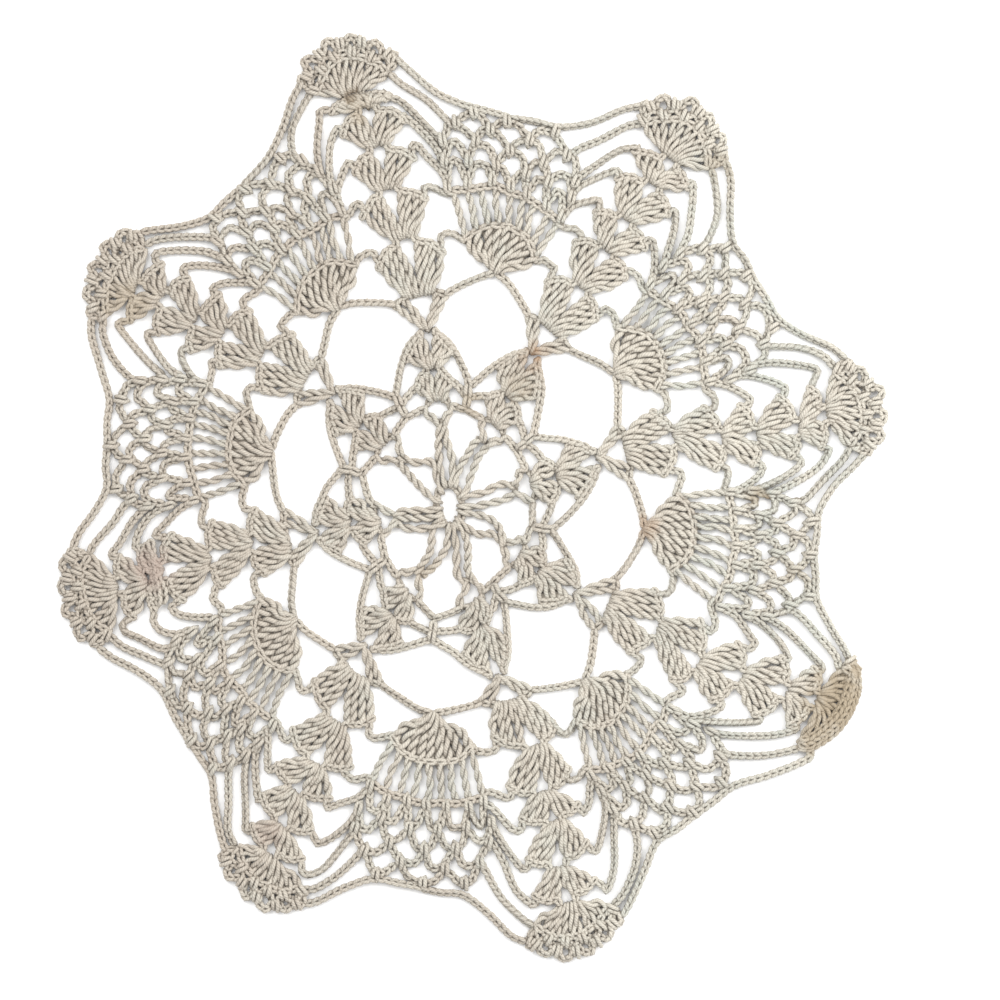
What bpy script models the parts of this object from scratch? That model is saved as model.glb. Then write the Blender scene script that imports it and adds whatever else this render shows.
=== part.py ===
"""Lace doily: a crocheted table mat with eight pointed arms, lying flat.

The mat is worked in one piece of cotton thread, from the ring at its heart outwards, so it is one solid:
a flat sheet two threads thick, open where the work leaves its larger gaps, and thicker where a tip of
the mat has rolled over or tucked under itself.

Even doily and real doily.  The pattern repeats eight times.  Each repeat runs from the axis of an arm to
the axis of the pineapple motif beside it.  A place on an even doily is (radius, share): the radius from
the heart, and the share of the way from the arm's axis, 0, to the pineapple's, 1.  The tables ARMS, SWAYS
and PINEAPPLES say where the rounds really lie on each arm and pineapple of this hand-made one, and
place() turns the even place into the real one.
"""

import math

import bmesh
import bpy

MM = 0.001

# Sizes in millimetres.
CLOTH_THICKNESS = 1.9       # two threads, one over the other
CHAIN_HALF_WIDTH = 1.0      # half the width of a chain of stitches, which edges every gap
CORNER_CUT = 1.3            # how far a gap's corners are rounded back
CORNER_SHARE = 0.45         # at most this share of the side beside the corner
REPEATED = 0.05             # points nearer than this are one point
WELD = 0.01                 # corners of the drawn faces nearer than this are one corner
LEAST_GAP_AREA = 5.0        # square millimetres: a smaller gap is closed by the thread's own fuzz
HEART_RING = (1.8, 3.2)     # half width and half length of the oval hole in the ring
HEART_RING_TURN = 8.0       # degrees that the oval leans
HEART_RING_POINTS = 14
FOLD_BASE = 0.5             # a fold's solid starts this high inside the sheet
FOLD_CORNER_CUT = 2.5

COLOUR = (0.60, 0.55, 0.47, 1.0)
ROUGHNESS = 0.85

REPEATS = 8

# Radius of each round's shell, where its stitches start, along the arm of an even doily.
ARM_RADII = (0.0, 20.0, 27.0, 36.5, 44.0, 54.0, 65.0, 73.5, 82.0, 88.0, 100.0)

# The real arms, clockwise from the one nearest +Y: bearing in degrees, then the real radius of each of
# those places.
ARMS = (
    # bearing  heart  round 4  round 5  crossing  shell 7  8  9  10  11  12  tip
    (102.0, 0.0, 24.0, 32.0, 40.0, 48.5, 61.0, 72.5, 82.5, 91.5, 94.0, 108.0),
    (58.0, 0.0, 20.5, 28.0, 39.0, 46.0, 57.0, 67.0, 75.0, 85.0, 91.0, 105.5),
    (13.0, 0.0, 18.5, 25.0, 34.5, 41.5, 52.0, 62.5, 70.0, 79.5, 85.5, 99.0),
    (-27.5, 0.0, 18.5, 24.5, 33.5, 42.0, 53.5, 65.0, 75.0, 85.5, 92.0, 100.0),
    (-74.5, 0.0, 21.5, 28.0, 39.5, 46.0, 56.5, 67.0, 73.5, 83.5, 91.5, 104.5),
    (-115.5, 0.0, 21.0, 28.0, 36.5, 43.5, 54.5, 65.0, 72.5, 80.5, 87.0, 98.5),
    (-167.5, 0.0, 16.0, 23.5, 31.0, 38.0, 45.5, 55.0, 66.5, 70.0, 76.0, 90.0),
    (145.5, 0.0, 20.0, 28.0, 36.5, 44.0, 54.5, 64.5, 71.0, 80.0, 85.5, 96.5),
)

# How far each of those places lies to the right of its arm's straight axis, seen from the heart.
SWAYS = (
    # heart  round 4  round 5  crossing  shell 7  8  9  10  11  12  tip
    (0.0, 2.0, 2.5, 3.0, 3.0, 2.0, 0.5, 0.5, 0.0, -1.5, -1.0),
    (0.0, -1.5, -2.5, -3.0, -2.5, -1.5, -1.0, -1.0, 0.0, 0.5, 0.0),
    (0.0, -1.0, -1.5, -3.5, -4.0, -4.0, -1.0, 0.0, 0.5, -1.0, 1.0),
    (0.0, 2.5, 4.0, 4.5, 3.5, 3.0, 6.0, 4.0, 2.0, 0.5, 0.0),
    (0.0, 0.5, 1.0, 0.0, -1.0, -4.0, -2.5, -3.5, -1.0, -1.0, 1.0),
    (0.0, 1.0, 2.0, 4.5, 4.0, 3.0, 3.0, 4.5, 4.0, 3.5, 2.0),
    (0.0, 0.5, 2.0, 1.0, 0.0, 2.0, 0.5, 0.0, -1.0, -1.0, -2.0),
    (0.0, 3.0, 3.5, 6.0, 5.5, 4.0, 3.0, 2.0, 2.0, 0.0, 2.0),
)

# Places along a pineapple of an even doily: heart, joint of rounds 4 and 5, foot of the fan, top of the
# fan, top of the long stitches, outer edge.
PINEAPPLE_RADII = (0.0, 23.0, 46.5, 56.0, 65.5, 83.5)

# The real pineapples.  Pineapple 0 lies clockwise of arm 0.  Real radius of each of those places, then the
# bearing of each but the heart.
PINEAPPLES = (
    # heart  joint  foot  fan  long  edge     joint  foot  fan  long  edge
    ((0.0, 24.5, 52.5, 62.0, 71.5, 87.5), (82.0, 79.5, 78.0, 79.5, 81.5)),
    ((0.0, 21.5, 46.5, 57.0, 66.0, 84.0), (41.5, 39.5, 38.0, 37.5, 37.5)),
    ((0.0, 20.5, 42.5, 53.5, 63.0, 82.0), (-13.5, -6.5, -6.0, -9.0, -7.5)),
    ((0.0, 21.5, 48.0, 58.5, 67.5, 87.5), (-62.0, -53.0, -52.0, -52.5, -51.5)),
    ((0.0, 28.0, 46.0, 56.0, 65.5, 85.5), (-99.0, -95.5, -94.5, -94.5, -94.5)),
    ((0.0, 21.0, 42.5, 52.0, 62.0, 78.0), (-142.0, -145.5, -144.0, -142.0, -138.0)),
    ((0.0, 24.0, 42.0, 51.0, 60.0, 78.0), (160.0, 161.0, 163.5, 165.0, 169.5)),
    ((0.0, 25.0, 50.5, 60.0, 69.0, 85.0), (117.0, 119.0, 120.0, 119.5, 123.0)),
)

# Outlines on the even doily, as (radius, share), along the middle of the threads that bound them.
EDGE = ((101.0, 0.0), (100.3, 0.10), (98.4, 0.20), (95.6, 0.30), (92.4, 0.38), (85.4, 0.69), (84.9, 1.0))
SPOKE_GAP = ((4.6, 1.0), (8.5, 0.42), (15.6, 0.22), (18.2, 0.40), (20.8, 1.0))
WINDOW = ((25.8, 1.0), (35.4, 0.12), (37.2, 0.10), (42.6, 0.38), (43.8, 0.55), (45.9, 1.0))
CROSSING_EYE = ((37.3, 0.0), (42.9, 0.30), (43.2, 0.0))

# Gaps between one round's chain and the next, on each side of each arm: shell side, inner chain,
# pineapple side, outer chain.
SIDE_GAPS = {
    "round 7": ((43.8, 0.30), (45.9, 0.92), (52.6, 0.62), (53.6, 0.34)),
    "round 8": ((54.8, 0.16), (52.6, 0.62), (62.0, 0.50), (64.4, 0.30)),
    "round 9": ((65.9, 0.19), (62.0, 0.50), (67.0, 0.49), (72.8, 0.26)),
    "round 10": ((74.8, 0.19), (67.0, 0.49), (71.0, 0.475), (80.4, 0.245)),
    "round 11": ((83.4, 0.18), (71.0, 0.475), (75.0, 0.49), (87.2, 0.24)),
    "round 12": ((89.0, 0.19), (75.0, 0.49), (79.0, 0.57), (93.5, 0.29)),
}

# Where the mat lies double: (radius, share) of each corner, and the top's height.  A negative share is
# on the anticlockwise side of the arm.
FOLDS = {
    "tuck under the first arm's tip": {
        "arm": 0,
        "corners": ((86.0, -0.22), (86.0, 0.22), (91.5, 0.24), (91.5, -0.24)),
        "height": 3.2,
    },
    "fourth arm's tip rolled over": {
        "arm": 3,
        "corners": ((93.5, -0.27), (93.5, 0.30), (98.0, 0.20), (99.5, 0.0), (98.0, -0.18)),
        "height": 3.4,
    },
    "sixth arm's tip curled": {
        "arm": 5,
        "corners": ((94.0, -0.22), (94.0, 0.24), (98.0, 0.16), (98.6, 0.0), (98.0, -0.14)),
        "height": 3.0,
    },
}


def clear_scene():
    """Remove what the scene starts with."""
    for thing in list(bpy.data.objects):
        bpy.data.objects.remove(thing, do_unlink=True)


def between(value, stops, results):
    """Straight-line reading of a table, carried on at the last slope past its end."""
    for low in range(len(stops) - 1):
        last = low == len(stops) - 2
        if value <= stops[low + 1] or last:
            part = (value - stops[low]) / (stops[low + 1] - stops[low])
            return results[low] + part * (results[low + 1] - results[low])
    return results[-1]


def near_angle(angle, other):
    """The angle in degrees, turned by whole circles to lie nearest to the other."""
    return other + (angle - other + 180.0) % 360.0 - 180.0


def arm_at(arm, radius):
    """Real radius and bearing of an even radius on an arm's own axis."""
    bearing, *reaches = ARMS[arm]
    reach = between(radius, ARM_RADII, reaches)
    sway = between(radius, ARM_RADII, SWAYS[arm])
    return math.hypot(reach, sway), bearing - math.degrees(math.atan2(sway, reach))


def pineapple_at(pineapple, radius):
    """Real radius and bearing of an even radius on a pineapple's own axis."""
    reaches, bearings = PINEAPPLES[pineapple]
    first = bearings[0]
    turned = [first] + [near_angle(bearing, first) for bearing in bearings]
    capped = min(radius, PINEAPPLE_RADII[-1])
    return between(radius, PINEAPPLE_RADII, reaches), between(capped, PINEAPPLE_RADII, turned)


def place(arm, radius, share):
    """Real (x, y) in millimetres from the heart.  A negative share goes anticlockwise of the arm."""
    pineapple = arm if share >= 0.0 else (arm - 1) % REPEATS
    part = abs(share)
    arm_reach, arm_bearing = arm_at(arm, radius)
    far_reach, far_bearing = pineapple_at(pineapple, radius)
    far_bearing = near_angle(far_bearing, arm_bearing)
    reach = arm_reach + (far_reach - arm_reach) * part
    bearing = math.radians(arm_bearing + (far_bearing - arm_bearing) * part)
    return reach * math.cos(bearing), reach * math.sin(bearing)


def across_arm(arm, half):
    """Outline that mirrors a half on the two sides of one arm's axis."""
    left = [place(arm, radius, -share) for radius, share in reversed(half)]
    right = [place(arm, radius, share) for radius, share in half]
    return tidy(left + right)


def across_pineapple(arm, half):
    """Outline that mirrors a half on the two sides of the pineapple clockwise of an arm."""
    near = [place(arm, radius, share) for radius, share in half]
    far = [place((arm + 1) % REPEATS, radius, -share) for radius, share in reversed(half)]
    return tidy(near + far)


def tidy(points):
    """Drop points that repeat the one before."""
    kept = []
    for point in points:
        if not kept or math.dist(point, kept[-1]) > REPEATED:
            kept.append(point)
    if math.dist(kept[0], kept[-1]) <= REPEATED:
        kept.pop()
    return kept


def area(points):
    """Signed area, positive anticlockwise."""
    total = 0.0
    for (x0, y0), (x1, y1) in zip(points, points[1:] + points[:1]):
        total += x0 * y1 - x1 * y0
    return total / 2.0


def inset(points, width):
    """A convex outline cut back by a width along each of its sides; empty when nothing is left."""
    if area(points) < 0.0:
        points = points[::-1]
    kept = points
    for (x0, y0), (x1, y1) in zip(points, points[1:] + points[:1]):
        length = math.dist((x0, y0), (x1, y1))
        normal = (-(y1 - y0) / length, (x1 - x0) / length)
        heights = [(x - x0) * normal[0] + (y - y0) * normal[1] - width for x, y in kept]
        cut = []
        for index, (x, y) in enumerate(kept):
            after = (index + 1) % len(kept)
            if heights[index] >= 0.0:
                cut.append((x, y))
            if heights[index] * heights[after] < 0.0:
                part = heights[index] / (heights[index] - heights[after])
                cut.append((x + (kept[after][0] - x) * part, y + (kept[after][1] - y) * part))
        kept = cut
        if len(kept) < 3:
            return []
    return tidy(kept)


def rounded(points, cut, bowed=True):
    """Each corner cut back, with a point between the two ends of the cut where it is bowed."""
    result = []
    for index, corner in enumerate(points):
        before = points[index - 1]
        after = points[(index + 1) % len(points)]
        start = toward(corner, before, min(cut, CORNER_SHARE * math.dist(corner, before)))
        end = toward(corner, after, min(cut, CORNER_SHARE * math.dist(corner, after)))
        middle = tuple((start[axis] + 2.0 * corner[axis] + end[axis]) / 4.0 for axis in (0, 1))
        result += [start, middle, end] if bowed else [start, end]
    return result


def toward(start, end, distance):
    """The point that lies a distance from start on the way to end."""
    part = distance / math.dist(start, end)
    return start[0] + (end[0] - start[0]) * part, start[1] + (end[1] - start[1]) * part


def mat_edge():
    """The mat's outer edge, arm by arm."""
    points = []
    for arm in reversed(range(REPEATS)):
        points += across_arm(arm, EDGE)[::-1]
    return rounded(tidy(points), CORNER_CUT)


def ring_hole():
    """The oval hole inside the ring at the heart."""
    turn = math.radians(HEART_RING_TURN)
    points = []
    for step in range(HEART_RING_POINTS):
        angle = math.tau * step / HEART_RING_POINTS
        x = HEART_RING[0] * math.cos(angle)
        y = HEART_RING[1] * math.sin(angle)
        points.append((x * math.cos(turn) - y * math.sin(turn), x * math.sin(turn) + y * math.cos(turn)))
    return points


def gaps():
    """Every gap of the mat that is large enough to stay open."""
    large = []
    small = []
    for arm in range(REPEATS):
        large.append(across_pineapple(arm, SPOKE_GAP))
        large.append(across_pineapple(arm, WINDOW))
        small.append(across_arm(arm, CROSSING_EYE))
        for corners in SIDE_GAPS.values():
            for side in (1.0, -1.0):
                small.append([place(arm, radius, side * share) for radius, share in corners])
    return [ring_hole()] + opened(large, True) + opened(small, False)


def opened(outlines, bowed):
    """The outlines less the threads that bound them, without those that are left too small."""
    cleared = [inset(outline, CHAIN_HALF_WIDTH) for outline in outlines]
    kept = [gap for gap in cleared if gap and abs(area(gap)) > LEAST_GAP_AREA]
    return [rounded(gap, CORNER_CUT, bowed) for gap in kept]


def flat_piece(name, outlines, low, high, centre, collection):
    """A mesh between two heights inside the outlines, whose inner outlines are holes."""
    curve = bpy.data.curves.new(name, "CURVE")
    curve.dimensions = "2D"
    curve.fill_mode = "BOTH"
    curve.extrude = (high - low) / 2.0 * MM
    for outline in outlines:
        spline = curve.splines.new("POLY")
        spline.points.add(len(outline) - 1)
        for point, (x, y) in zip(spline.points, outline):
            point.co = ((x - centre[0]) * MM, (y - centre[1]) * MM, 0.0, 1.0)
        spline.use_cyclic_u = True
    drawn = bpy.data.objects.new(name, curve)
    collection.objects.link(drawn)
    drawn.location.z = (low + high) / 2.0 * MM
    bpy.context.view_layer.update()
    mesh = bpy.data.meshes.new_from_object(drawn.evaluated_get(bpy.context.evaluated_depsgraph_get()))
    mesh.name = name
    place_matrix = drawn.matrix_world.copy()
    bpy.data.objects.remove(drawn, do_unlink=True)
    welded(mesh)
    piece = bpy.data.objects.new(name, mesh)
    collection.objects.link(piece)
    piece.matrix_world = place_matrix
    return piece


def welded(mesh):
    """Join the filled faces to the walls."""
    work = bmesh.new()
    work.from_mesh(mesh)
    bmesh.ops.remove_doubles(work, verts=work.verts, dist=WELD * MM)
    bmesh.ops.recalc_face_normals(work, faces=work.faces)
    work.to_mesh(mesh)
    work.free()


def cotton():
    """Unbleached cotton thread."""
    material = bpy.data.materials.new("cotton_thread")
    material.use_nodes = True
    surface = material.node_tree.nodes["Principled BSDF"]
    surface.inputs["Base Color"].default_value = COLOUR
    surface.inputs["Roughness"].default_value = ROUGHNESS
    surface.inputs["Metallic"].default_value = 0.0
    material.diffuse_color = COLOUR
    return material


def add_folds(sheet, centre, guides):
    """Raise the sheet where the mat lies double."""
    for name, fold in FOLDS.items():
        corners = [place(fold["arm"], radius, share) for radius, share in fold["corners"]]
        outline = rounded(corners, FOLD_CORNER_CUT)
        pad = flat_piece(name, [outline], FOLD_BASE, fold["height"], centre, guides)
        pad.hide_render = True
        pad.display_type = "WIRE"
        union = sheet.modifiers.new(name, "BOOLEAN")
        union.operation = "UNION"
        union.solver = "EXACT"
        union.object = pad


def main():
    clear_scene()
    mat = bpy.data.collections.new("Lace doily")
    guides = bpy.data.collections.new("Fold guides")
    bpy.context.scene.collection.children.link(mat)
    bpy.context.scene.collection.children.link(guides)
    edge = mat_edge()
    across = [x for x, _ in edge]
    along = [y for _, y in edge]
    centre = ((min(across) + max(across)) / 2.0, (min(along) + max(along)) / 2.0)
    sheet = flat_piece("lace", [edge] + gaps(), 0.0, CLOTH_THICKNESS, centre, mat)
    sheet.data.materials.append(cotton())
    add_folds(sheet, centre, guides)


main()
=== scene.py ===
"""Looks of the crocheted lace doily: the thread itself, stitch by stitch, lying on a pale table.

The mat is worked in rounds from the ring at its heart.  Eight arms, each a column of shells, stand between
eight pineapples, each a fan of trebles, a row of long stitches and a mesh of small loops.  Places are given
on an even doily, in millimetres, and place() moves them to where this hand-made mat really has them.
"""

import math
import random

import bpy
import numpy as np
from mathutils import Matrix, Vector


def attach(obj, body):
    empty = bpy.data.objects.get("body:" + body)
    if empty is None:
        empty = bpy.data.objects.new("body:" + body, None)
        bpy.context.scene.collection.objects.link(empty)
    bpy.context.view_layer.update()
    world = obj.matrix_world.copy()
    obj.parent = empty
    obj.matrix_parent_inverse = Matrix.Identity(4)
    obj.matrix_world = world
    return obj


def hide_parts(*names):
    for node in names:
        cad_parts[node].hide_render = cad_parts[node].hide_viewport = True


bl_info = {
    "name": "Lace doily",
    "version": (1, 0, 0),
    "blender": (4, 5, 0),
    "location": "View3D > Sidebar > Doily",
    "description": "Crocheted lace doily made of single stitches of cotton thread",
    "category": "Add Mesh",
}

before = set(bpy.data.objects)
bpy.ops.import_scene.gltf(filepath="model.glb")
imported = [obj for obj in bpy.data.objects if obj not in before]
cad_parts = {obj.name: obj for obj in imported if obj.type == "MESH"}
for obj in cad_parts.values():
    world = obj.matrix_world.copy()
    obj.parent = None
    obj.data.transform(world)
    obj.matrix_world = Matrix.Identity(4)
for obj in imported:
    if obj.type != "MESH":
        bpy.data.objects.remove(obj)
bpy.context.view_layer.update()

MM = 0.001
CAD_NODE = "lace"
REPEATS = 8
TWIST = 4.6                    # millimetres of a tall stitch for one turn of its two threads
SPOKE_TWIST = 6.0              # the same for the spokes
HALF_SECTOR = math.pi / REPEATS
HEART = (-4.436, -2.161)       # where the ring at the heart lies, in millimetres

# Places along an arm of an even doily: heart, feet of the shells of rounds 4 and 5, crossing, feet of the
# shells of rounds 7 to 11, foot of the wide shell at the tip, outer edge.
ARM_RADII = (0.0, 20.0, 27.0, 36.5, 44.0, 54.0, 65.0, 73.5, 82.0, 88.0, 100.0)

# Each piece of the mat: width and length of its flat sheet in metres, and its area without the gaps in
# square metres.
PIECES = {
    "heart": ((0.106, 0.106), 0.0095),
    "shells": ((0.180, 0.180), 0.0100),
    "links": ((0.180, 0.190), 0.0110),
    "fans": ((0.160, 0.160), 0.0080),
    "mesh": ((0.180, 0.190), 0.0110),
    "tips": ((0.186, 0.208), 0.0120),
}

# Each piece's seed for what differs by hand, and how cool and how dull its cotton is.
COTTON = {
    "heart": (11, 0.25, 0.40),
    "shells": (23, 0.15, 0.30),
    "links": (37, 0.65, 0.38),
    "fans": (41, 0.10, 0.40),
    "mesh": (53, 0.40, 0.26),
    "tips": (67, 0.05, 0.35),
}

# The real arms, clockwise from the one nearest +Y.
ARMS = (
    # bearing  heart  round 4  round 5  crossing  shell 7  8  9  10  11  12  tip
    (102.0, 0.0, 24.0, 32.0, 40.0, 48.5, 61.0, 72.5, 82.5, 91.5, 94.0, 108.6),
    (58.0, 0.0, 20.5, 28.0, 39.0, 46.0, 57.0, 67.0, 75.0, 85.0, 91.0, 105.9),
    (13.0, 0.0, 18.5, 25.0, 34.5, 41.5, 52.0, 62.5, 70.0, 79.5, 85.5, 99.0),
    (-27.5, 0.0, 18.5, 24.5, 33.5, 42.0, 53.5, 65.0, 75.0, 85.5, 92.0, 100.0),
    (-74.5, 0.0, 21.5, 28.0, 39.5, 46.0, 56.5, 67.0, 73.5, 83.5, 91.5, 103.9),
    (-115.5, 0.0, 21.0, 28.0, 36.5, 43.5, 54.5, 65.0, 72.5, 80.5, 87.0, 97.9),
    (-167.5, 0.0, 16.0, 23.5, 31.0, 38.0, 45.5, 55.0, 66.5, 70.0, 76.0, 89.4),
    (145.5, 0.0, 20.0, 28.0, 36.5, 44.0, 54.5, 64.5, 71.0, 80.0, 85.5, 95.8),
)

# How far each of those places lies to the right of its arm's straight axis, seen from the heart.
SWAYS = (
    # heart  round 4  round 5  crossing  shell 7  8  9  10  11  12  tip
    (0.0, 2.0, 2.5, 3.0, 3.0, 2.0, 0.5, 0.5, 0.0, -2.4, -2.9),
    (0.0, -1.5, -2.5, -3.0, -2.5, -1.5, -1.0, -1.0, 0.0, 0.5, 0.0),
    (0.0, -1.0, -1.5, -3.5, -4.0, -4.0, -1.0, 0.0, 0.5, -1.4, -0.6),
    (0.0, 2.5, 4.0, 4.5, 3.5, 3.0, 6.0, 4.0, 2.0, 0.5, 0.0),
    (0.0, 0.5, 1.0, 0.0, -1.0, -4.0, -2.5, -3.5, -1.2, -1.4, 0.3),
    (0.0, 1.0, 2.0, 4.5, 4.0, 3.0, 3.0, 4.5, 4.0, 3.5, 1.5),
    (0.0, 0.5, 2.0, 1.0, 0.0, 2.0, 0.5, 0.0, -1.0, -0.8, -1.4),
    (0.0, 3.0, 3.5, 6.0, 5.5, 4.0, 3.0, 2.0, 2.0, 0.0, 2.0),
)

# Places along a pineapple of an even doily: heart, joint of rounds 4 and 5, foot of the fan, top of the
# fan, top of the long stitches, outer edge.
FAN_RADII = (0.0, 23.0, 46.5, 56.0, 65.5, 83.5)

# The real pineapples, the first one clockwise of the first arm.
FANS = (
    # heart  joint  foot  fan  long  edge     joint  foot  fan  long  edge
    ((0.0, 24.5, 52.3, 62.8, 70.9, 87.9), (82.0, 79.5, 78.5, 79.5, 81.5)),
    ((0.0, 21.5, 45.9, 57.3, 65.8, 84.4), (41.5, 39.2, 38.0, 37.5, 37.5)),
    ((0.0, 20.5, 42.2, 53.2, 62.8, 81.5), (-13.5, -6.5, -6.5, -8.0, -7.5)),
    ((0.0, 21.5, 47.8, 58.6, 67.5, 87.5), (-62.0, -52.8, -52.5, -52.5, -51.5)),
    ((0.0, 28.0, 45.1, 56.0, 65.2, 85.3), (-99.0, -95.2, -95.0, -94.8, -94.5)),
    ((0.0, 21.0, 42.1, 52.3, 61.8, 78.6), (-142.0, -144.5, -144.0, -142.0, -138.0)),
    ((0.0, 24.0, 41.4, 50.8, 60.0, 78.2), (160.0, 162.5, 164.0, 165.0, 169.5)),
    ((0.0, 25.0, 50.2, 60.0, 68.4, 85.5), (117.0, 119.5, 120.2, 119.5, 123.0)),
)

# Heights of the thread's middle above the table.
LOW = 0.62
MIDDLE = 1.05
HIGH = 1.75

# One chain stitch, base to base: along in stitches, across in half widths, up in half heights.
CHAIN_STITCH = (
    (0.00, 0.12, -0.30),
    (0.24, 0.46, 0.55),
    (0.62, 0.84, 0.62),
    (1.00, 0.78, 0.20),
    (1.24, 0.32, -0.20),
    (1.24, -0.32, -0.20),
    (1.00, -0.78, 0.20),
    (0.62, -0.84, 0.62),
    (0.24, -0.46, 0.55),
    (0.02, -0.12, -0.30),
    (0.28, 0.00, -0.95),
    (0.74, 0.00, -0.95),
)
STITCH_OVERRUN = 0.26          # how far a stitch's loop reaches past the start of the next
STITCH_POINTS = 14
CHAIN_STEP = 0.7               # millimetres between the points of a chain's line
CHAIN_ROLL = 0.9               # how far a chain may be turned about its own line, in radians
CHAIN_DRIFT = 0.5              # how far that turn may change along it
POST_STEP = 0.3                # millimetres between the points of a post's line, before they are spread
POST_POINTS = 7                # points of a post without a turn, and as many more for each turn
CLEARANCE = 0.01               # least height of the thread above the table, in millimetres
# Painted shade: the cotton is darkened where rays from a spot are stopped by other threads.
SHADE_RAY_GAP = 0.03                # how far off a spot of the thread the look for others starts, in millimetres
# Ways to look for threads that hide a spot, for the painted shade between the threads, each added to the way
# straight out of it.
SHADE_RAYS = (
    (0.0, 0.0, 0.3), (1.1, 0.0, 0.0), (-1.1, 0.0, 0.0), (0.0, 1.1, 0.0), (0.0, -1.1, 0.0),
    (0.6, 0.6, 0.3), (-0.6, 0.6, 0.3), (0.6, -0.6, 0.3), (-0.6, -0.6, 0.3),
)

# Kinds of post: how far its two threads lie from its middle in millimetres and how thick they are beside a
# plain one, at the foot and at the head.
POSTS = {
    "spoke": ((0.20, 0.92), (0.50, 1.14)),
    "leg": ((0.30, 0.85), (0.47, 1.14)),
    "crossing": ((0.14, 0.72), (0.47, 1.14)),
    "shell": ((0.14, 0.70), (0.50, 1.24)),
    "lowest shell": ((0.15, 0.90), (0.50, 1.24)),
    "fan": ((0.12, 0.62), (0.60, 1.32)),
    "fan's lower thread": ((0.10, 0.90), (0.36, 1.00)),
    "long stitch": ((0.42, 1.04), (0.44, 1.06)),
    "tip": ((0.12, 0.66), (0.47, 1.14)),
    "tuck": ((0.20, 0.85), (0.20, 0.85)),
    "single crochet": ((0.50, 1.05), (0.52, 1.08)),
}

# Shells: radius of the feet, how far the inner and outer foot lie from the arm's axis, the top of each
# stitch on one side from the innermost to the outermost, and the radius of the chain between the halves.
SHELLS = {
    "round 4": (21.1, 0.40, 1.70, ((26.0, 1.8), (25.5, 3.0), (24.5, 4.2)), 27.1),
    "round 5": (27.4, 0.35, 1.90, ((34.8, 2.0), (33.9, 3.2), (32.6, 4.2), (31.0, 5.1)), 36.4),
    "round 7": (44.0, 0.50, 3.40, ((52.9, 2.6), (52.7, 4.0), (52.0, 5.4), (50.8, 6.8)), 54.2),
    "round 8": (54.6, 0.35, 2.70, ((63.8, 2.5), (63.8, 3.9), (63.2, 5.3), (61.9, 6.7)), 65.2),
    "round 9": (65.6, 0.35, 2.70, ((72.1, 2.3), (72.1, 3.7), (71.6, 5.1), (70.5, 6.5)), 73.8),
    "round 10": (74.1, 0.35, 2.70, ((80.5, 2.3), (80.6, 3.7), (80.1, 5.2), (78.9, 6.6)), 82.2),
    "round 11": (82.7, 0.40, 2.80, ((86.9, 2.1), (87.0, 3.6), (86.6, 5.0), (85.7, 6.5)), 88.5),
}

# The wide shell at an arm's tip: feet, then half of its tops from the middle one outwards.
TIP_FEET = (89.2, 3.9)
TIP_TOPS = ((95.3, 0.0), (95.2, 1.8), (94.7, 3.6), (93.9, 5.3), (92.8, 6.9), (91.4, 8.3))
LOOPS_AT_TIP = 5
LOOP_BULGE = 2.5               # how far a loop of the first row stands beyond the shell's tops
KNOB_BULGE = 5.0               # the same for a loop of the second row
ROLLED_TIP = 3                 # the arm whose tip has rolled over
ROLLED_TILT = 0.20             # how much farther out that tip is on its left, in mm a mm
ROLLED_SPREAD = (1.30, 1.15)   # how much wider it is than the others, on its left and its right
ROLLED_CORNER = (91.6, 9.4)    # where the chains meet its corners
ROLLED_RIM = ((-1.9, 2.1, 1.2), (-0.8, 2.0, 1.3), (0.0, 1.2, 1.2))   # out, height and width of its rows
TUCKED_TIP = 0                 # the arm whose last shell is tucked under its tip
TUCK_WRAPS = 6
TUCK = (86.0, -1.6, 0.8)       # radius of the wraps there, place of the first and way to the next
PLEATED_ARM = 6                # the arm that a pleat runs across, below its fourth shell
PLEAT_ROWS = ((74.2, 0.75), (76.4, 0.85))   # radius of the rows of the pleat, and how far they rise
PLEAT_COURSE = (-6.3, -3.2, 0.0, 3.6, 7.2)

# Chains from a shell's outer corner to the side of the pineapple, as (radius, share of the half sector).
LINKS = {
    "round 3": ((19.7, 0.40), (19.9, 0.60), (20.5, 1.00)),
    "round 4": ((24.5, 0.44), (24.2, 0.62), (23.4, 0.85), (23.1, 1.00)),
    "round 5": ((35.6, 0.09), (34.2, 0.27), (32.2, 0.44), (29.6, 0.63), (27.2, 0.82), (25.2, 1.00)),
    "round 6": ((42.6, 0.36), (44.0, 0.54), (46.0, 0.80), (47.1, 0.98)),
    "round 7": ((49.4, 0.33), (51.8, 0.34), (53.4, 0.36), (53.9, 0.43), (53.3, 0.53), (52.4, 0.61)),
    "round 8": ((61.4, 0.27), (63.4, 0.27), (64.5, 0.30), (64.3, 0.37), (63.0, 0.45), (63.2, 0.53)),
    "round 9": ((70.6, 0.235), (72.2, 0.245), (72.8, 0.27), (71.4, 0.34), (68.2, 0.44), (65.4, 0.49)),
    "round 10": ((79.1, 0.22), (80.2, 0.235), (80.3, 0.26), (77.8, 0.34), (73.4, 0.44), (70.0, 0.475)),
    "round 11": ((85.7, 0.20), (87.0, 0.215), (87.2, 0.24), (84.2, 0.32), (78.6, 0.43), (74.2, 0.50)),
    "round 12": ((91.3, 0.25), (89.2, 0.325), (84.8, 0.44), (80.4, 0.545), (78.0, 0.58)),
    "border": ((94.2, 0.295), (91.8, 0.38), (87.2, 0.52), (83.7, 0.68), (83.3, 0.84), (83.0, 1.00)),
}

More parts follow.
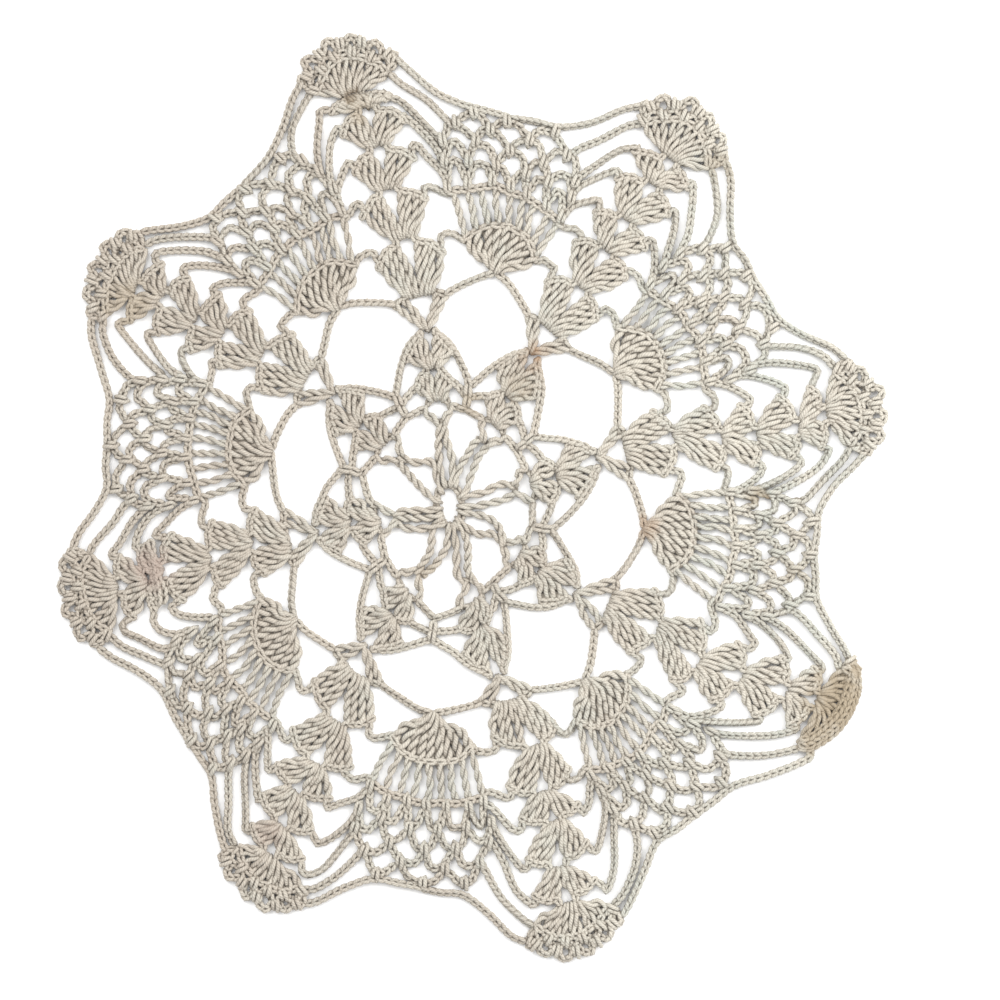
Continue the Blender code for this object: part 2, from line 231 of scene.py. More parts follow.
# How far the chains of round 11, round 12 and the border lie outside that even course, in millimetres, on
# the left and on the right of each arm, seen from the heart.
LINK_SLACK = (
    ((0.0, 2.2, 1.1), (-2.6, -1.2, -0.7)),
    ((-1.0, -0.4, 0.2), (-0.4, 1.5, 1.4)),
    ((1.6, 1.4, 0.4), (0.3, 0.4, -0.4)),
    ((-0.6, 0.0, 0.1), (-1.6, -0.6, 0.5)),
    ((1.6, 1.8, 0.2), (0.0, 0.0, 1.1)),
    ((1.6, 0.8, 0.2), (-0.6, 0.9, 0.6)),
    ((1.2, 0.0, -0.5), (-0.6, 0.0, 0.5)),
    ((0.4, 1.0, 1.3), (1.0, 0.6, -0.7)),
)
SLACK_OUT = 0.55               # how far out a chain moves for a millimetre of that
SLACK_ASIDE = 0.026            # how far it moves from the arm for it, in shares of the half sector

# The ring's oval hole: its half width and half height, its turn in degrees and its place.
RING_HOLE = (1.75, 3.65)
RING_TURN = 7.0
RING_PLACE = (-0.55, 0.35)
RING_STEPS = 16
RING_STITCHES = 13

# The heart's small parts on an even doily, as (radius, across): the V between the spokes and round 3, the
# feet and tops of the crossing's stitches on one side, and half of the chains over the V and the crossing.
V_LEGS = ((16.4, 1.2), (20.0, 3.3))
CROSSING = (((36.9, 0.40), (43.0, 4.0)), ((36.9, 0.95), (42.4, 6.0)))
CHAIN_OVER_V = ((21.0, 0.0), (20.7, 1.4), (19.9, 2.7))
CHAIN_OVER_CROSSING = ((43.7, 0.0), (43.4, 3.2), (42.6, 6.0))
BARS = (22.1, 24.1)            # radii of the wraps that hold rounds 4 and 5 together between the arms

# The tall stitches from the ring to the arms, clockwise from the one nearest +Y, in millimetres from the
# heart: across and along.
SPOKES = (
    ((-1.5, 4.8), (-2.5, 8.0), (-2.9, 11.0), (-3.0, 14.0), (-2.8, 17.0), (-2.9, 19.5)),
    ((-0.3, 4.9), (0.1, 7.5), (0.1, 10.3), (-0.6, 13.0), (-1.5, 15.8), (-1.8, 19.4)),
    ((0.7, 4.8), (1.2, 7.2), (2.2, 9.7), (3.6, 11.7), (4.5, 13.6), (6.2, 15.2)),
    ((1.9, 2.3), (3.3, 3.9), (3.9, 6.0), (4.9, 8.6), (5.8, 11.0), (7.4, 13.0), (9.4, 15.0)),
    ((2.4, 2.0), (5.0, 2.8), (7.5, 3.3), (9.6, 4.7), (11.8, 5.1), (14.6, 4.4)),
    ((1.9, 0.2), (4.2, 0.1), (6.5, 0.4), (9.0, 1.0), (11.5, 1.6), (14.2, 3.2)),
    ((1.8, -1.0), (4.0, -1.4), (6.5, -1.9), (8.8, -2.8), (10.3, -4.3), (11.2, -6.6), (12.0, -8.2)),
    ((1.3, -2.7), (3.0, -4.2), (4.8, -5.6), (6.7, -6.1), (8.8, -5.9), (10.4, -7.0), (11.6, -8.8)),
    ((0.9, -3.7), (2.5, -5.6), (3.4, -8.0), (3.6, -11.0), (3.5, -14.0), (4.6, -16.6)),
    ((0.2, -4.1), (0.7, -7.0), (1.0, -10.0), (1.0, -13.0), (1.4, -15.6), (3.6, -17.0)),
    ((-0.6, -4.2), (-1.0, -6.5), (-1.2, -9.0), (-2.6, -11.2), (-4.0, -13.2), (-6.6, -15.2)),
    ((-1.8, -3.6), (-4.2, -4.6), (-4.5, -7.6), (-5.0, -10.3), (-6.4, -12.4), (-7.8, -14.9)),
    ((-2.3, -2.7), (-4.6, -4.4), (-7.6, -4.9), (-10.4, -4.6), (-12.6, -3.4)),
    ((-2.6, -1.6), (-5.0, -2.4), (-8.0, -2.5), (-10.8, -2.5), (-12.8, -2.6)),
    ((-2.8, -0.4), (-5.0, -0.7), (-8.0, -0.8), (-10.8, -0.9), (-12.9, -2.0)),
    ((-2.9, 1.2), (-5.0, 2.5), (-7.2, 4.7), (-9.6, 7.3), (-12.4, 10.6)),
    ((-2.3, 3.4), (-3.3, 6.0), (-3.7, 8.6), (-5.2, 10.2), (-8.0, 9.9), (-12.0, 11.2)),
)

# The fan of trebles: its foot, and half of its tops from the middle one outwards.
FAN_FOOT = (47.8, 2.3)
FAN_TOPS = ((56.8, 0.0), (56.6, 2.1), (56.1, 4.2), (55.0, 6.2), (53.2, 8.0))
LONG_START = 1.25              # how far beyond a treble's head the long stitch above it starts
LONG_TOPS = ((65.5, 0.0), (65.4, 3.1), (65.0, 6.2), (64.3, 9.2), (63.4, 12.1))

# Mesh rounds: radius of the single crochets, degrees from one to the next, how many, and how much nearer
# to the heart the outermost ones lie.
MESH = {
    "round 9": (66.8, 3.76, 7, 2.0),
    "round 10": (71.2, 4.68, 6, 1.2),
    "round 11": (75.1, 5.56, 5, 0.8),
    "round 12": (78.8, 6.24, 4, 0.4),
    "border": (82.1, 6.75, 3, 0.0),
}
MESH_TOPS = (71.2, 75.1, 78.8, 82.1)

# Stains, in millimetres from the heart: across, along, radius, strength, and which of the stain colours.
STAINS = {
    "rust at the fourth junction": (18.6, 34.3, 2.3, 0.85, "rust"),
    "rust round it": (18.7, 33.0, 5.2, 0.30, "rust"),
    "rust by the heart": (4.0, 22.7, 4.0, 0.40, "tan"),
    "brown spot on the mesh": (70.0, 1.8, 1.5, 0.85, "brown"),
    "tan beside it": (67.6, 2.6, 3.2, 0.60, "tan"),
    "second spot": (76.4, 2.2, 1.6, 0.60, "brown"),
    "mesh beyond the third fan": (77.3, -15.1, 5.0, 0.22, "tan"),
    "foot of the third fan": (43.4, -4.6, 3.8, 0.42, "rust"),
    "fourth tip": (86.3, -43.5, 10.0, 0.88, "tan"),
    "fourth tip's lower end": (80.5, -51.0, 5.5, 0.70, "tan"),
    "fourth tip's upper end": (90.0, -35.6, 3.2, 0.70, "tan"),
    "pleat of the seventh arm": (-66.6, -13.6, 6.0, 0.62, "pink"),
    # The next two spots are partly stain and partly painted shade in the fold of the tuck.
    "tuck of the first arm": (-22.4, 91.4, 2.6, 0.70, "brown"),
    "shell under the tuck": (-20.5, 88.0, 4.0, 0.45, "tan"),
    "sixth arm": (-39.2, -72.6, 1.7, 0.75, "brown"),
    "sixth tip": (-40.5, -72.5, 4.5, 0.35, "pink"),
    "eighth tip": (-72.0, 45.0, 7.0, 0.45, "tan"),
    "second tip": (59.5, 75.5, 5.0, 0.30, "tan"),
    "below the heart": (-4.4, -15.5, 4.5, 0.35, "tan"),
    "second arm's first shell": (15.2, 26.5, 4.5, 0.30, "tan"),
}


# Unevenness of the cotton: scale and detail of each noise.
COTTON_NOISES = {
    "wide": (40.0, 3.0),
    "patch": (130.0, 2.0),
    "fine": (1300.0, 2.0),
    "grain": (5200.0, 1.0),
}
COOL_PATCHES = 2.6             # how much cooler or warmer the cotton is from patch to patch
# How much each thing counts for how dull the cotton is: unevenness, each stitch's own tone, and greying.
DULLING = {"wide": 1.1, "fine": 0.5, "grain": 1.6, "stitch": 0.30, "greyed": -0.3}
PAINTED_LIGHT_FALLOFF = 4.2                # painted light: how much lighter the mat is painted towards +X, in tone a metre
DULL_RANGE = (0.75, 1.75)      # tones between which the cotton goes from clean to dull
GROOVE_DEPTH = 0.5             # how high up the plies the painted shade in their grooves reaches
GROOVE_SHADE = 0.30             # how much of the painted shade's colour shows there at most
SHADE_RANGE = (0.15, 0.75)      # shares of blocked rays between which the painted shade goes from none to most
PAINTED_SHADE = 0.64                    # how much of the painted shade's colour shows between the threads at most
STAIN_NOISE = (420.0, 3.0)
STAIN_RAGGED = 0.8             # how uneven a stain's edge is, in its radius
STAIN_EDGE = (0.75, 1.5)       # where a stain starts to fade and where it ends, in its radius
PLY_BUMP = 0.12                # height of the plies, in millimetres

# Lights: place, size and power.
LIGHTS = {
    "Key": ((-0.35, 0.55, 1.20), 0.80, 10.8),
    "Fill": ((0.60, 0.20, 0.56), 0.60, 5.4),
}
ROOM_LIGHT = 0.86
TABLE_HALF = 2.0
VIEW_CENTRE = (0.00623, -0.00061)


class DoilyThread(bpy.types.PropertyGroup):
    """Sizes of the thread and its stitches."""

    thickness: bpy.props.FloatProperty(
        name="Thread thickness", description="Diameter of the cotton thread",
        default=0.92 * MM, min=0.0001, precision=5, unit="LENGTH")
    chain_pitch: bpy.props.FloatProperty(
        name="Chain pitch", description="Length of one chain stitch",
        default=1.70 * MM, min=0.0001, precision=5, unit="LENGTH")
    chain_width: bpy.props.FloatProperty(
        name="Chain width", description="Width of a chain between the middles of its outer threads",
        default=1.24 * MM, min=0.0001, precision=5, unit="LENGTH")
    chain_height: bpy.props.FloatProperty(
        name="Chain height", description="Height of a chain between the middles of its outer threads",
        default=0.95 * MM, min=0.0001, precision=5, unit="LENGTH")
    sides: bpy.props.IntProperty(
        name="Thread sides", description="Flat sides round the thread, which is shaded smooth",
        default=6, min=3)


class DoilyColours(bpy.types.PropertyGroup):
    """Colours of the cotton, its stains and the painted shade between its threads."""

    light: bpy.props.FloatVectorProperty(
        name="Light", description="Cotton where it is cleanest", subtype="COLOR", size=3,
        default=(0.595, 0.562, 0.486), min=0.0, max=1.0)
    cool: bpy.props.FloatVectorProperty(
        name="Cool", description="Cotton of the loose chains, greyed by light", subtype="COLOR", size=3,
        default=(0.492, 0.508, 0.455), min=0.0, max=1.0)
    dark: bpy.props.FloatVectorProperty(
        name="Dark", description="Cotton where it has gone dull", subtype="COLOR", size=3,
        default=(0.452, 0.40, 0.337), min=0.0, max=1.0)
    # Painted shade: this colour is laid in the ply grooves and where other threads hide the cotton.
    crevice_shade: bpy.props.FloatVectorProperty(
        name="Crevice", description="Dust between the threads", subtype="COLOR", size=3,
        default=(0.085, 0.06, 0.038), min=0.0, max=1.0)
    rust: bpy.props.FloatVectorProperty(
        name="Rust", description="Orange stains", subtype="COLOR", size=3,
        default=(0.30, 0.165, 0.075), min=0.0, max=1.0)
    brown: bpy.props.FloatVectorProperty(
        name="Brown", description="Brown stains", subtype="COLOR", size=3,
        default=(0.165, 0.115, 0.065), min=0.0, max=1.0)
    tan: bpy.props.FloatVectorProperty(
        name="Tan", description="Yellow stains", subtype="COLOR", size=3,
        default=(0.335, 0.27, 0.185), min=0.0, max=1.0)
    pink: bpy.props.FloatVectorProperty(
        name="Pink", description="Pink stains", subtype="COLOR", size=3,
        default=(0.35, 0.265, 0.225), min=0.0, max=1.0)


class DoilyStage(bpy.types.PropertyGroup):
    """The table, the lights and the camera."""

    table: bpy.props.FloatVectorProperty(
        name="Table", description="Colour of the table", subtype="COLOR", size=3,
        default=(0.95, 0.95, 0.95), min=0.0, max=1.0)
    view_width: bpy.props.FloatProperty(
        name="View width", description="Width of table that the camera sees", default=0.2222, unit="LENGTH")
    lens: bpy.props.FloatProperty(
        name="Lens", description="Focal length of the camera, in millimetres", default=200.0)


# Where things lie.

def between(value, stops, results):
    """Straight-line reading of a table, carried on at the last slope past its end."""
    for low in range(len(stops) - 1):
        last = low == len(stops) - 2
        if value <= stops[low + 1] or last:
            part = (value - stops[low]) / (stops[low + 1] - stops[low])
            return results[low] + part * (results[low + 1] - results[low])
    return results[-1]


def near_angle(angle, other):
    """The angle in degrees, turned by whole circles to lie nearest to the other."""
    return other + (angle - other + 180.0) % 360.0 - 180.0


def arm_at(arm, radius):
    """Real radius and bearing of an even radius on an arm's own axis."""
    bearing, *reaches = ARMS[arm]
    reach = between(radius, ARM_RADII, reaches)
    sway = between(radius, ARM_RADII, SWAYS[arm])
    return math.hypot(reach, sway), bearing - math.degrees(math.atan2(sway, reach))


def fan_at(fan, radius):
    """Real radius and bearing of an even radius on a pineapple's own axis."""
    reaches, bearings = FANS[fan]
    first = bearings[0]
    turned = [first] + [near_angle(bearing, first) for bearing in bearings]
    capped = min(radius, FAN_RADII[-1])
    return between(radius, FAN_RADII, reaches), between(capped, FAN_RADII, turned)


def place(arm, radius, share, height=MIDDLE):
    """Real point, in millimetres, of a radius and a share of the way from an arm's axis to the pineapple's.

    A negative share goes anticlockwise of the arm, and a share over 1 goes on into the next arm's half.
    """
    arm %= REPEATS
    if share > 1.0:
        return place(arm + 1, radius, share - 2.0, height)
    if share < -1.0:
        return place(arm - 1, radius, share + 2.0, height)
    fan = arm if share >= 0.0 else (arm - 1) % REPEATS
    part = abs(share)
    arm_reach, arm_bearing = arm_at(arm, radius)
    far_reach, far_bearing = fan_at(fan, radius)
    far_bearing = near_angle(far_bearing, arm_bearing)
    reach = arm_reach + (far_reach - arm_reach) * part
    bearing = math.radians(arm_bearing + (far_bearing - arm_bearing) * part)
    return Vector((reach * math.cos(bearing) + HEART[0], reach * math.sin(bearing) + HEART[1], height))


def by_arm(arm, radius, across, height=MIDDLE):
    """Point that lies some millimetres to the right of an arm's axis on the even doily."""
    return place(arm, radius, across / (radius * HALF_SECTOR), height)


def by_fan(fan, radius, across, height=MIDDLE):
    """Point that lies some millimetres to the right of a pineapple's axis on the even doily."""
    return place(fan, radius, 1.0 + across / (radius * HALF_SECTOR), height)


def by_angle(fan, radius, degrees, height=MIDDLE):
    """Point that lies some degrees to the right of a pineapple's axis on the even doily."""
    return place(fan, radius, 1.0 + math.radians(degrees) / HALF_SECTOR, height)


def smooth_line(points, step):
    """Points along a smooth curve through the given ones, about a step apart."""
    ends = [2.0 * points[0] - points[1]] + list(points) + [2.0 * points[-1] - points[-2]]
    line = []
    for index in range(1, len(ends) - 2):
        around = ends[index - 1:index + 3]
        count = max(1, round((around[2] - around[1]).length / step))
        for part in range(count):
            line.append(curve_point(*around, part / count))
    line.append(points[-1].copy())
    return line


def curve_point(before, start, end, after, part):
    """A point of a Catmull-Rom curve between its start and its end."""
    return 0.5 * (
        2.0 * start + (end - before) * part
        + (2.0 * before - 5.0 * start + 4.0 * end - after) * part * part
        + (3.0 * start - before - 3.0 * end + after) * part * part * part)


def length_of(line):
    """Length of a line of points."""
    return sum((after - before).length for before, after in zip(line, line[1:]))


def spread_evenly(line, count):
    """The given number of points, evenly spaced along a line."""
    total = length_of(line)
    result = [line[0].copy()]
    gone = 0.0
    reached = 1
    for before, after in zip(line, line[1:]):
        part = (after - before).length
        while reached < count - 1 and gone + part >= total * reached / (count - 1):
            result.append(before.lerp(after, (total * reached / (count - 1) - gone) / max(part, 1e-6)))
            reached += 1
        gone += part
    result.append(line[-1].copy())
    return result


def ease(value):
    """Smooth step from 0 to 1."""
    value = min(1.0, max(0.0, value))
    return value * value * (3.0 - 2.0 * value)


def between_two(first, second, share):
    """The number that lies a share of the way from the first to the second."""
    return first + (second - first) * share


def at_heights(points, heights):
    """The points, each moved to its height."""
    for point, height in zip(points, heights):
        point.z = height
    return list(points)


def level(points, height):
    """The points, all moved to one height."""
    return at_heights(points, [height] * len(points))


def mirrored(half):
    """A table of (radius, across) rows on both sides, from left to right."""
    left = [(radius, -across) for radius, across in reversed(half[1:])]
    return left + list(half)


def from_middle(index, count):
    """How far a stitch of a row lies from its middle, from -1 to 1."""
    return index / (count - 1) * 2.0 - 1.0


class Work:
    """The chains and posts of one piece, before they are made of thread."""

    def __init__(self, name):
        self.name = name
        self.chains = []
        self.posts = []
        self.dice = random.Random(COTTON[name][0])

    def nudged(self, point, amount):
        """The point, moved a little as hand work is."""
        return point + Vector((self.dice.gauss(0.0, amount), self.dice.gauss(0.0, amount), 0.0))

    def chain(self, points, stitches=None, roll=None, width=1.0, loose=0.12):
        """A chain of stitches through the points, which stray by loose.

        Where no number of stitches is given, they have their usual length. Where no roll is given, the
        chain lies turned about its own line as it falls.
        """
        inner = [self.nudged(point, loose) for point in points[1:-1]]
        line = smooth_line([points[0]] + inner + [points[-1]], CHAIN_STEP)
        if stitches is None:
            pitch = bpy.context.scene.doily_thread.chain_pitch / MM
            stitches = max(1, round(length_of(line) / pitch))
        turn = self.dice.uniform(-CHAIN_ROLL, CHAIN_ROLL) if roll is None else roll
        drift = self.dice.uniform(-CHAIN_DRIFT, CHAIN_DRIFT) if roll is None else 0.0
        phase = self.dice.uniform(0.0, math.tau)
        lay = []
        for index in range(len(line)):
            along = index / max(1, len(line) - 1)
            lay.append((turn + drift * math.sin(phase + 4.0 * along), width, 0.0))
        self.chains.append((line, stitches, lay))

    def post(self, points, kind, turns, phase=None, cool=0.0):
        """Two threads twined round each other, from a foot to a head; cool is how much light greyed them."""
        low, high = POSTS[kind]
        steps = POST_POINTS + round(POST_POINTS * turns)
        line = spread_evenly(smooth_line(points, POST_STEP), steps)
        start = self.dice.uniform(0.0, math.pi) if phase is None else phase
        turns *= self.dice.uniform(0.8, 1.2)
        twine = []
        for index in range(steps):
            along = index / (steps - 1)
            open_up = ease(along / 0.5)
            twine.append((
                start + math.tau * turns * along ** 1.3,
                between_two(low[0], high[0], open_up),
                between_two(low[1], high[1], open_up)))
        self.posts.append((line, twine, cool))

    def wrapped_post(self, foot, top, kind, turns=None, bow=0.0, drop=1.15, cool=0.0):
        """A post whose foot is wrapped round the thread that it stands on, which lies up to drop behind."""
        if turns is None:
            turns = (top - foot).length / TWIST
        way = (top - foot).normalized()
        side = Vector((way.y, -way.x, 0.0))
        bow += self.dice.gauss(0.0, 0.18)
        wrap = [foot + way * 0.3, foot - way * drop, foot - way * 0.1, foot + way * 1.3]
        body = foot.lerp(top, 0.5) + side * bow
        heights = (LOW, MIDDLE - 0.1, HIGH + 0.1, HIGH - 0.15, MIDDLE + 0.2)
        self.post(at_heights(wrap + [body], heights) + [top], kind, turns, cool=cool)

    def single_crochet(self, spot, way, reach=1.1):
        """Two short threads side by side, wrapped round the loop below."""
        side = Vector((way.y, -way.x, 0.0))
        lean = side * self.dice.uniform(-0.25, 0.25)
        points = [spot - way * 0.2, spot - way * (reach + 0.05), spot - way * 0.45, spot + way * 0.6 + lean,
                  spot + way * (reach + 0.35) + lean]
        at_heights(points, (LOW - 0.2, MIDDLE, HIGH + 0.3, HIGH + 0.1, MIDDLE))
        self.post(points, "single crochet", 0.12, phase=self.dice.uniform(-0.3, 0.1))


# Making the thread.

def lines_mesh(name, lines, attribute, values, given):
    """A mesh of edges along the lines, with a vector at each point and a given number on each line."""
    points = []
    edges = []
    facts = []
    numbers = []
    for index, line in enumerate(lines):
        first = len(points)
        points += [(point.x * MM, point.y * MM, point.z * MM) for point in line]
        edges += [(first + step, first + step + 1) for step in range(len(line) - 1)]
        facts += values[index]
        numbers += [float(given[index])] * len(line)
    mesh = bpy.data.meshes.new(name)
    mesh.from_pydata(points, edges, [])
    vectors = mesh.attributes.new(attribute, "FLOAT_VECTOR", "POINT")
    vectors.data.foreach_set("vector", [number for fact in facts for number in fact])
    whole = mesh.attributes.new("given", "FLOAT", "POINT")
    whole.data.foreach_set("value", numbers)
    return mesh


def stitch_shape():
    """The way of the thread through one chain stitch, as points."""
    ring = [Vector(point) for point in CHAIN_STITCH]
    forward = Vector((1.0, 0.0, 0.0))
    count = len(ring)
    dense = []
    for index in range(count):
        around = []
        for step in (-1, 0, 1, 2):
            turns, corner = divmod(index + step, count)
            around.append(ring[corner] + forward * turns)
        for part in range(8):
            dense.append(curve_point(*around, part / 8))
    dense.append(ring[0] + forward)
    shape = spread_evenly(dense, STITCH_POINTS + 1)[:-1]
    mesh = bpy.data.meshes.new("Stitch shape")
    mesh.from_pydata([tuple(point) for point in shape], [], [])
    guide = bpy.data.objects.new("Stitch shape", mesh)
    bpy.context.scene.collection.objects.link(guide)
    return guide


class Tree:
    """Short words for building a node tree."""

    def __init__(self, name, kind="GeometryNodeTree"):
        self.tree = bpy.data.node_groups.new(name, kind)
        self.inlet = self.tree.nodes.new("NodeGroupInput")
        self.outlet = self.tree.nodes.new("NodeGroupOutput")

    def socket(self, name, direction, kind, default=None):
        """A named input or output of the tree."""
        made = self.tree.interface.new_socket(name, in_out=direction, socket_type=kind)
        if default is not None:
            made.default_value = default
        return made

    def add(self, kind, inputs=None, **settings):
        """A node with its settings and inputs, each a value or another node's output."""
        node = self.tree.nodes.new(kind)
        for name, value in settings.items():
            setattr(node, name, value)
        for name, value in (inputs or {}).items():
            self.feed(node.inputs[name], value)
        return node

    def feed(self, target, value):
        """Join an output to an input, or set the input's value."""
        if isinstance(value, bpy.types.NodeSocket):
            self.tree.links.new(value, target)
        else:
            target.default_value = value

    def maths(self, operation, *values):
        """Result of a sum."""
        return self.add("ShaderNodeMath", dict(enumerate(values)), operation=operation).outputs[0]

    def vector(self, operation, *values):
        """Result of a vector sum; a scale is its last value."""
        names = (0, "Scale") if operation == "SCALE" else (0, 1)
        return self.add("ShaderNodeVectorMath", dict(zip(names, values)), operation=operation).outputs[0]

    def split(self, value):
        """X, Y and Z of a vector."""
        return self.add("ShaderNodeSeparateXYZ", {0: value}).outputs

    def combined(self, x, y, z):
        """A vector of three numbers."""
        return self.add("ShaderNodeCombineXYZ", {0: x, 1: y, 2: z}).outputs[0]

    def named(self, name, kind):
        """An attribute of the geometry."""
        node = self.add("GeometryNodeInputNamedAttribute", {"Name": name}, data_type=kind)
        return node.outputs["Attribute"]

    def marked(self, name):
        """The node that reads an attribute of the thread in a material."""
        return self.add("ShaderNodeAttribute", attribute_name=name)

    def captured(self, geometry, domain, **fields):
        """The geometry and the outputs that hold fields taken on it."""
        node = self.add("GeometryNodeCaptureAttribute", {"Geometry": geometry}, domain=domain)
        for name, (kind, value) in fields.items():
            node.capture_items.new(kind, name)
            self.feed(node.inputs[name], value)
        return node.outputs


def across_and_up(tree, way):
    """Sideways and upward directions at a point of a line that runs along way."""
    side = tree.vector("NORMALIZE", tree.vector("CROSS_PRODUCT", (0.0, 0.0, 1.0), way))
    return side, tree.vector("CROSS_PRODUCT", way, side)


def turned(tree, side, up, angle):
    """The two directions, turned about the line by an angle."""
    cosine = tree.maths("COSINE", angle)
    sine = tree.maths("SINE", angle)
    first = tree.vector("ADD", tree.vector("SCALE", side, cosine), tree.vector("SCALE", up, sine))
    second = tree.vector("SUBTRACT", tree.vector("SCALE", up, cosine), tree.vector("SCALE", side, sine))
    return first, second


def thread_round(tree, curve, depth, scale, tone_id, cool):
    """Give a curve the thread's round section, its marks, its material and smooth shading."""
    along = tree.add("GeometryNodeSplineParameter").outputs["Length"]
    tone = tree.add("FunctionNodeRandomValue", {"ID": tone_id, "Seed": 7}, data_type="FLOAT")
    kept = tree.captured(
        curve, "POINT", Along=("FLOAT", along), Depth=("FLOAT", depth), Scale=("FLOAT", scale),
        Tone=("FLOAT", tone.outputs[1]), Cool=("FLOAT", cool))
    circle = tree.add("GeometryNodeCurvePrimitiveCircle")
    tree.feed(circle.inputs["Resolution"], tree.inlet.outputs["Sides"])
    tree.feed(circle.inputs["Radius"], tree.inlet.outputs["Thread radius"])
    around = tree.maths("MULTIPLY", tree.add("GeometryNodeSplineParameter").outputs["Factor"], math.tau)
    section = tree.captured(
        circle.outputs["Curve"], "POINT", Cosine=("FLOAT", tree.maths("COSINE", around)),
        Sine=("FLOAT", tree.maths("SINE", around)))
    tube = tree.add("GeometryNodeCurveToMesh", {
        "Curve": kept["Geometry"], "Profile Curve": section["Geometry"], "Scale": kept["Scale"],
        "Fill Caps": True}).outputs["Mesh"]
    length = tree.maths("DIVIDE", kept["Along"], MM)
    marks = {
        "thread": tree.combined(section["Cosine"], section["Sine"], length),
        "stitch": tree.combined(kept["Tone"], kept["Depth"], kept["Cool"]),
    }
    for name, value in marks.items():
        tube = tree.add(
            "GeometryNodeStoreNamedAttribute", {"Geometry": tube, "Name": name, "Value": value},
            data_type="FLOAT_VECTOR", domain="POINT").outputs["Geometry"]
    tube = tree.add("GeometryNodeSetShadeSmooth", {"Geometry": tube}).outputs["Geometry"]
    whole = tree.add("GeometryNodeRealizeInstances", {"Geometry": tube}).outputs["Geometry"]
    dressed = tree.add("GeometryNodeSetMaterial", {"Geometry": whole})
    tree.feed(dressed.inputs["Material"], tree.inlet.outputs["Material"])
    tree.feed(tree.outlet.inputs["Geometry"], dressed.outputs["Geometry"])


def thread_sockets(tree):
    """The inputs that both kinds of stitch share."""
    tree.socket("Geometry", "INPUT", "NodeSocketGeometry")
    tree.socket("Thread radius", "INPUT", "NodeSocketFloat", 0.00046)
    tree.socket("Sides", "INPUT", "NodeSocketInt", 6)
    tree.socket("Material", "INPUT", "NodeSocketMaterial")
    tree.socket("Geometry", "OUTPUT", "NodeSocketGeometry")


def chain_tree():
    """Chain stitches along every line: one thread that loops through itself."""
    tree = Tree("Chain of stitches")
    thread_sockets(tree)
    tree.socket("Stitch shape", "INPUT", "NodeSocketObject")
    tree.socket("Half width", "INPUT", "NodeSocketFloat", 0.0006)
    tree.socket("Half height", "INPUT", "NodeSocketFloat", 0.0005)
    inlet = tree.inlet.outputs
    guide = tree.add("GeometryNodeMeshToCurve", {"Mesh": inlet["Geometry"]}).outputs["Curve"]
    stitches = tree.named("given", "FLOAT")
    count = tree.maths("ADD", tree.maths("MULTIPLY", stitches, float(STITCH_POINTS)), 1.0)
    path = tree.add(
        "GeometryNodeResampleCurve", {"Curve": guide, "Count": count}, mode="COUNT").outputs["Curve"]
    spot = tree.add("GeometryNodeCurveOfPoint").outputs
    stitch = tree.maths("FLOOR", tree.maths("DIVIDE", spot["Index in Curve"], float(STITCH_POINTS)))
    before = tree.maths("MULTIPLY", stitch, float(STITCH_POINTS))
    step = tree.maths("SUBTRACT", spot["Index in Curve"], before)
    shape = tree.add("GeometryNodeObjectInfo", {"Object": inlet["Stitch shape"]}).outputs["Geometry"]
    position = tree.add("GeometryNodeInputPosition").outputs["Position"]
    form = tree.split(tree.add(
        "GeometryNodeSampleIndex", {"Geometry": shape, "Value": position, "Index": step},
        data_type="FLOAT_VECTOR").outputs["Value"])
    factor = tree.maths(
        "DIVIDE", tree.maths("ADD", stitch, form[0]), tree.maths("ADD", stitches, STITCH_OVERRUN))
    reading = tree.add(
        "GeometryNodeSampleCurve", {
            "Curves": guide, "Value": tree.named("lay", "FLOAT_VECTOR"), "Factor": factor,
            "Curve Index": spot["Curve Index"]},
        mode="FACTOR", use_all_curves=False, data_type="FLOAT_VECTOR").outputs
    lay = tree.split(reading["Value"])
    side, up = across_and_up(tree, reading["Tangent"])
    side, up = turned(tree, side, up, lay[0])
    wide = tree.maths("MULTIPLY", tree.maths("MULTIPLY", form[1], lay[1]), inlet["Half width"])
    tall = tree.maths("MULTIPLY", form[2], inlet["Half height"])
    moved = tree.vector("ADD", reading["Position"], tree.vector("SCALE", side, wide))
    moved = tree.vector("ADD", moved, tree.vector("SCALE", up, tall))
    depth = tree.captured(path, "POINT", Height=("FLOAT", form[2]))
    laid = tree.add("GeometryNodeSetPosition", {"Geometry": depth["Geometry"], "Position": moved})
    thread_round(tree, laid.outputs["Geometry"], depth["Height"], 1.0, spot["Curve Index"], 0.0)
    return tree.tree


def post_tree():
    """Two threads twined round every line."""
    tree = Tree("Twined posts")
    thread_sockets(tree)
    inlet = tree.inlet.outputs
    guide = tree.add("GeometryNodeMeshToCurve", {"Mesh": inlet["Geometry"]}).outputs["Curve"]
    number = tree.add("GeometryNodeCurveOfPoint").outputs["Curve Index"]
    kept = tree.captured(guide, "POINT", Number=("FLOAT", number))
    pair = tree.add(
        "GeometryNodeDuplicateElements", {"Geometry": kept["Geometry"], "Amount": 2}, domain="SPLINE")
    twine = tree.split(tree.named("twine", "FLOAT_VECTOR"))
    opposite = tree.maths("MULTIPLY", pair.outputs["Duplicate Index"], math.pi)
    angle = tree.maths("ADD", twine[0], opposite)
    way = tree.add("GeometryNodeInputTangent").outputs["Tangent"]
    side, up = across_and_up(tree, way)
    offset = tree.vector("SCALE", side, tree.maths("COSINE", angle))
    offset = tree.vector("ADD", offset, tree.vector("SCALE", up, tree.maths("SINE", angle)))
    offset = tree.vector("SCALE", offset, tree.maths("MULTIPLY", twine[1], MM))
    depth = tree.captured(pair.outputs["Geometry"], "POINT", Height=("FLOAT", tree.maths("SINE", angle)))
    laid = tree.add("GeometryNodeSetPosition", {"Geometry": depth["Geometry"], "Offset": offset})
    cool = tree.named("given", "FLOAT")
    thread_round(tree, laid.outputs["Geometry"], depth["Height"], twine[2], kept["Number"], cool)
    return tree.tree


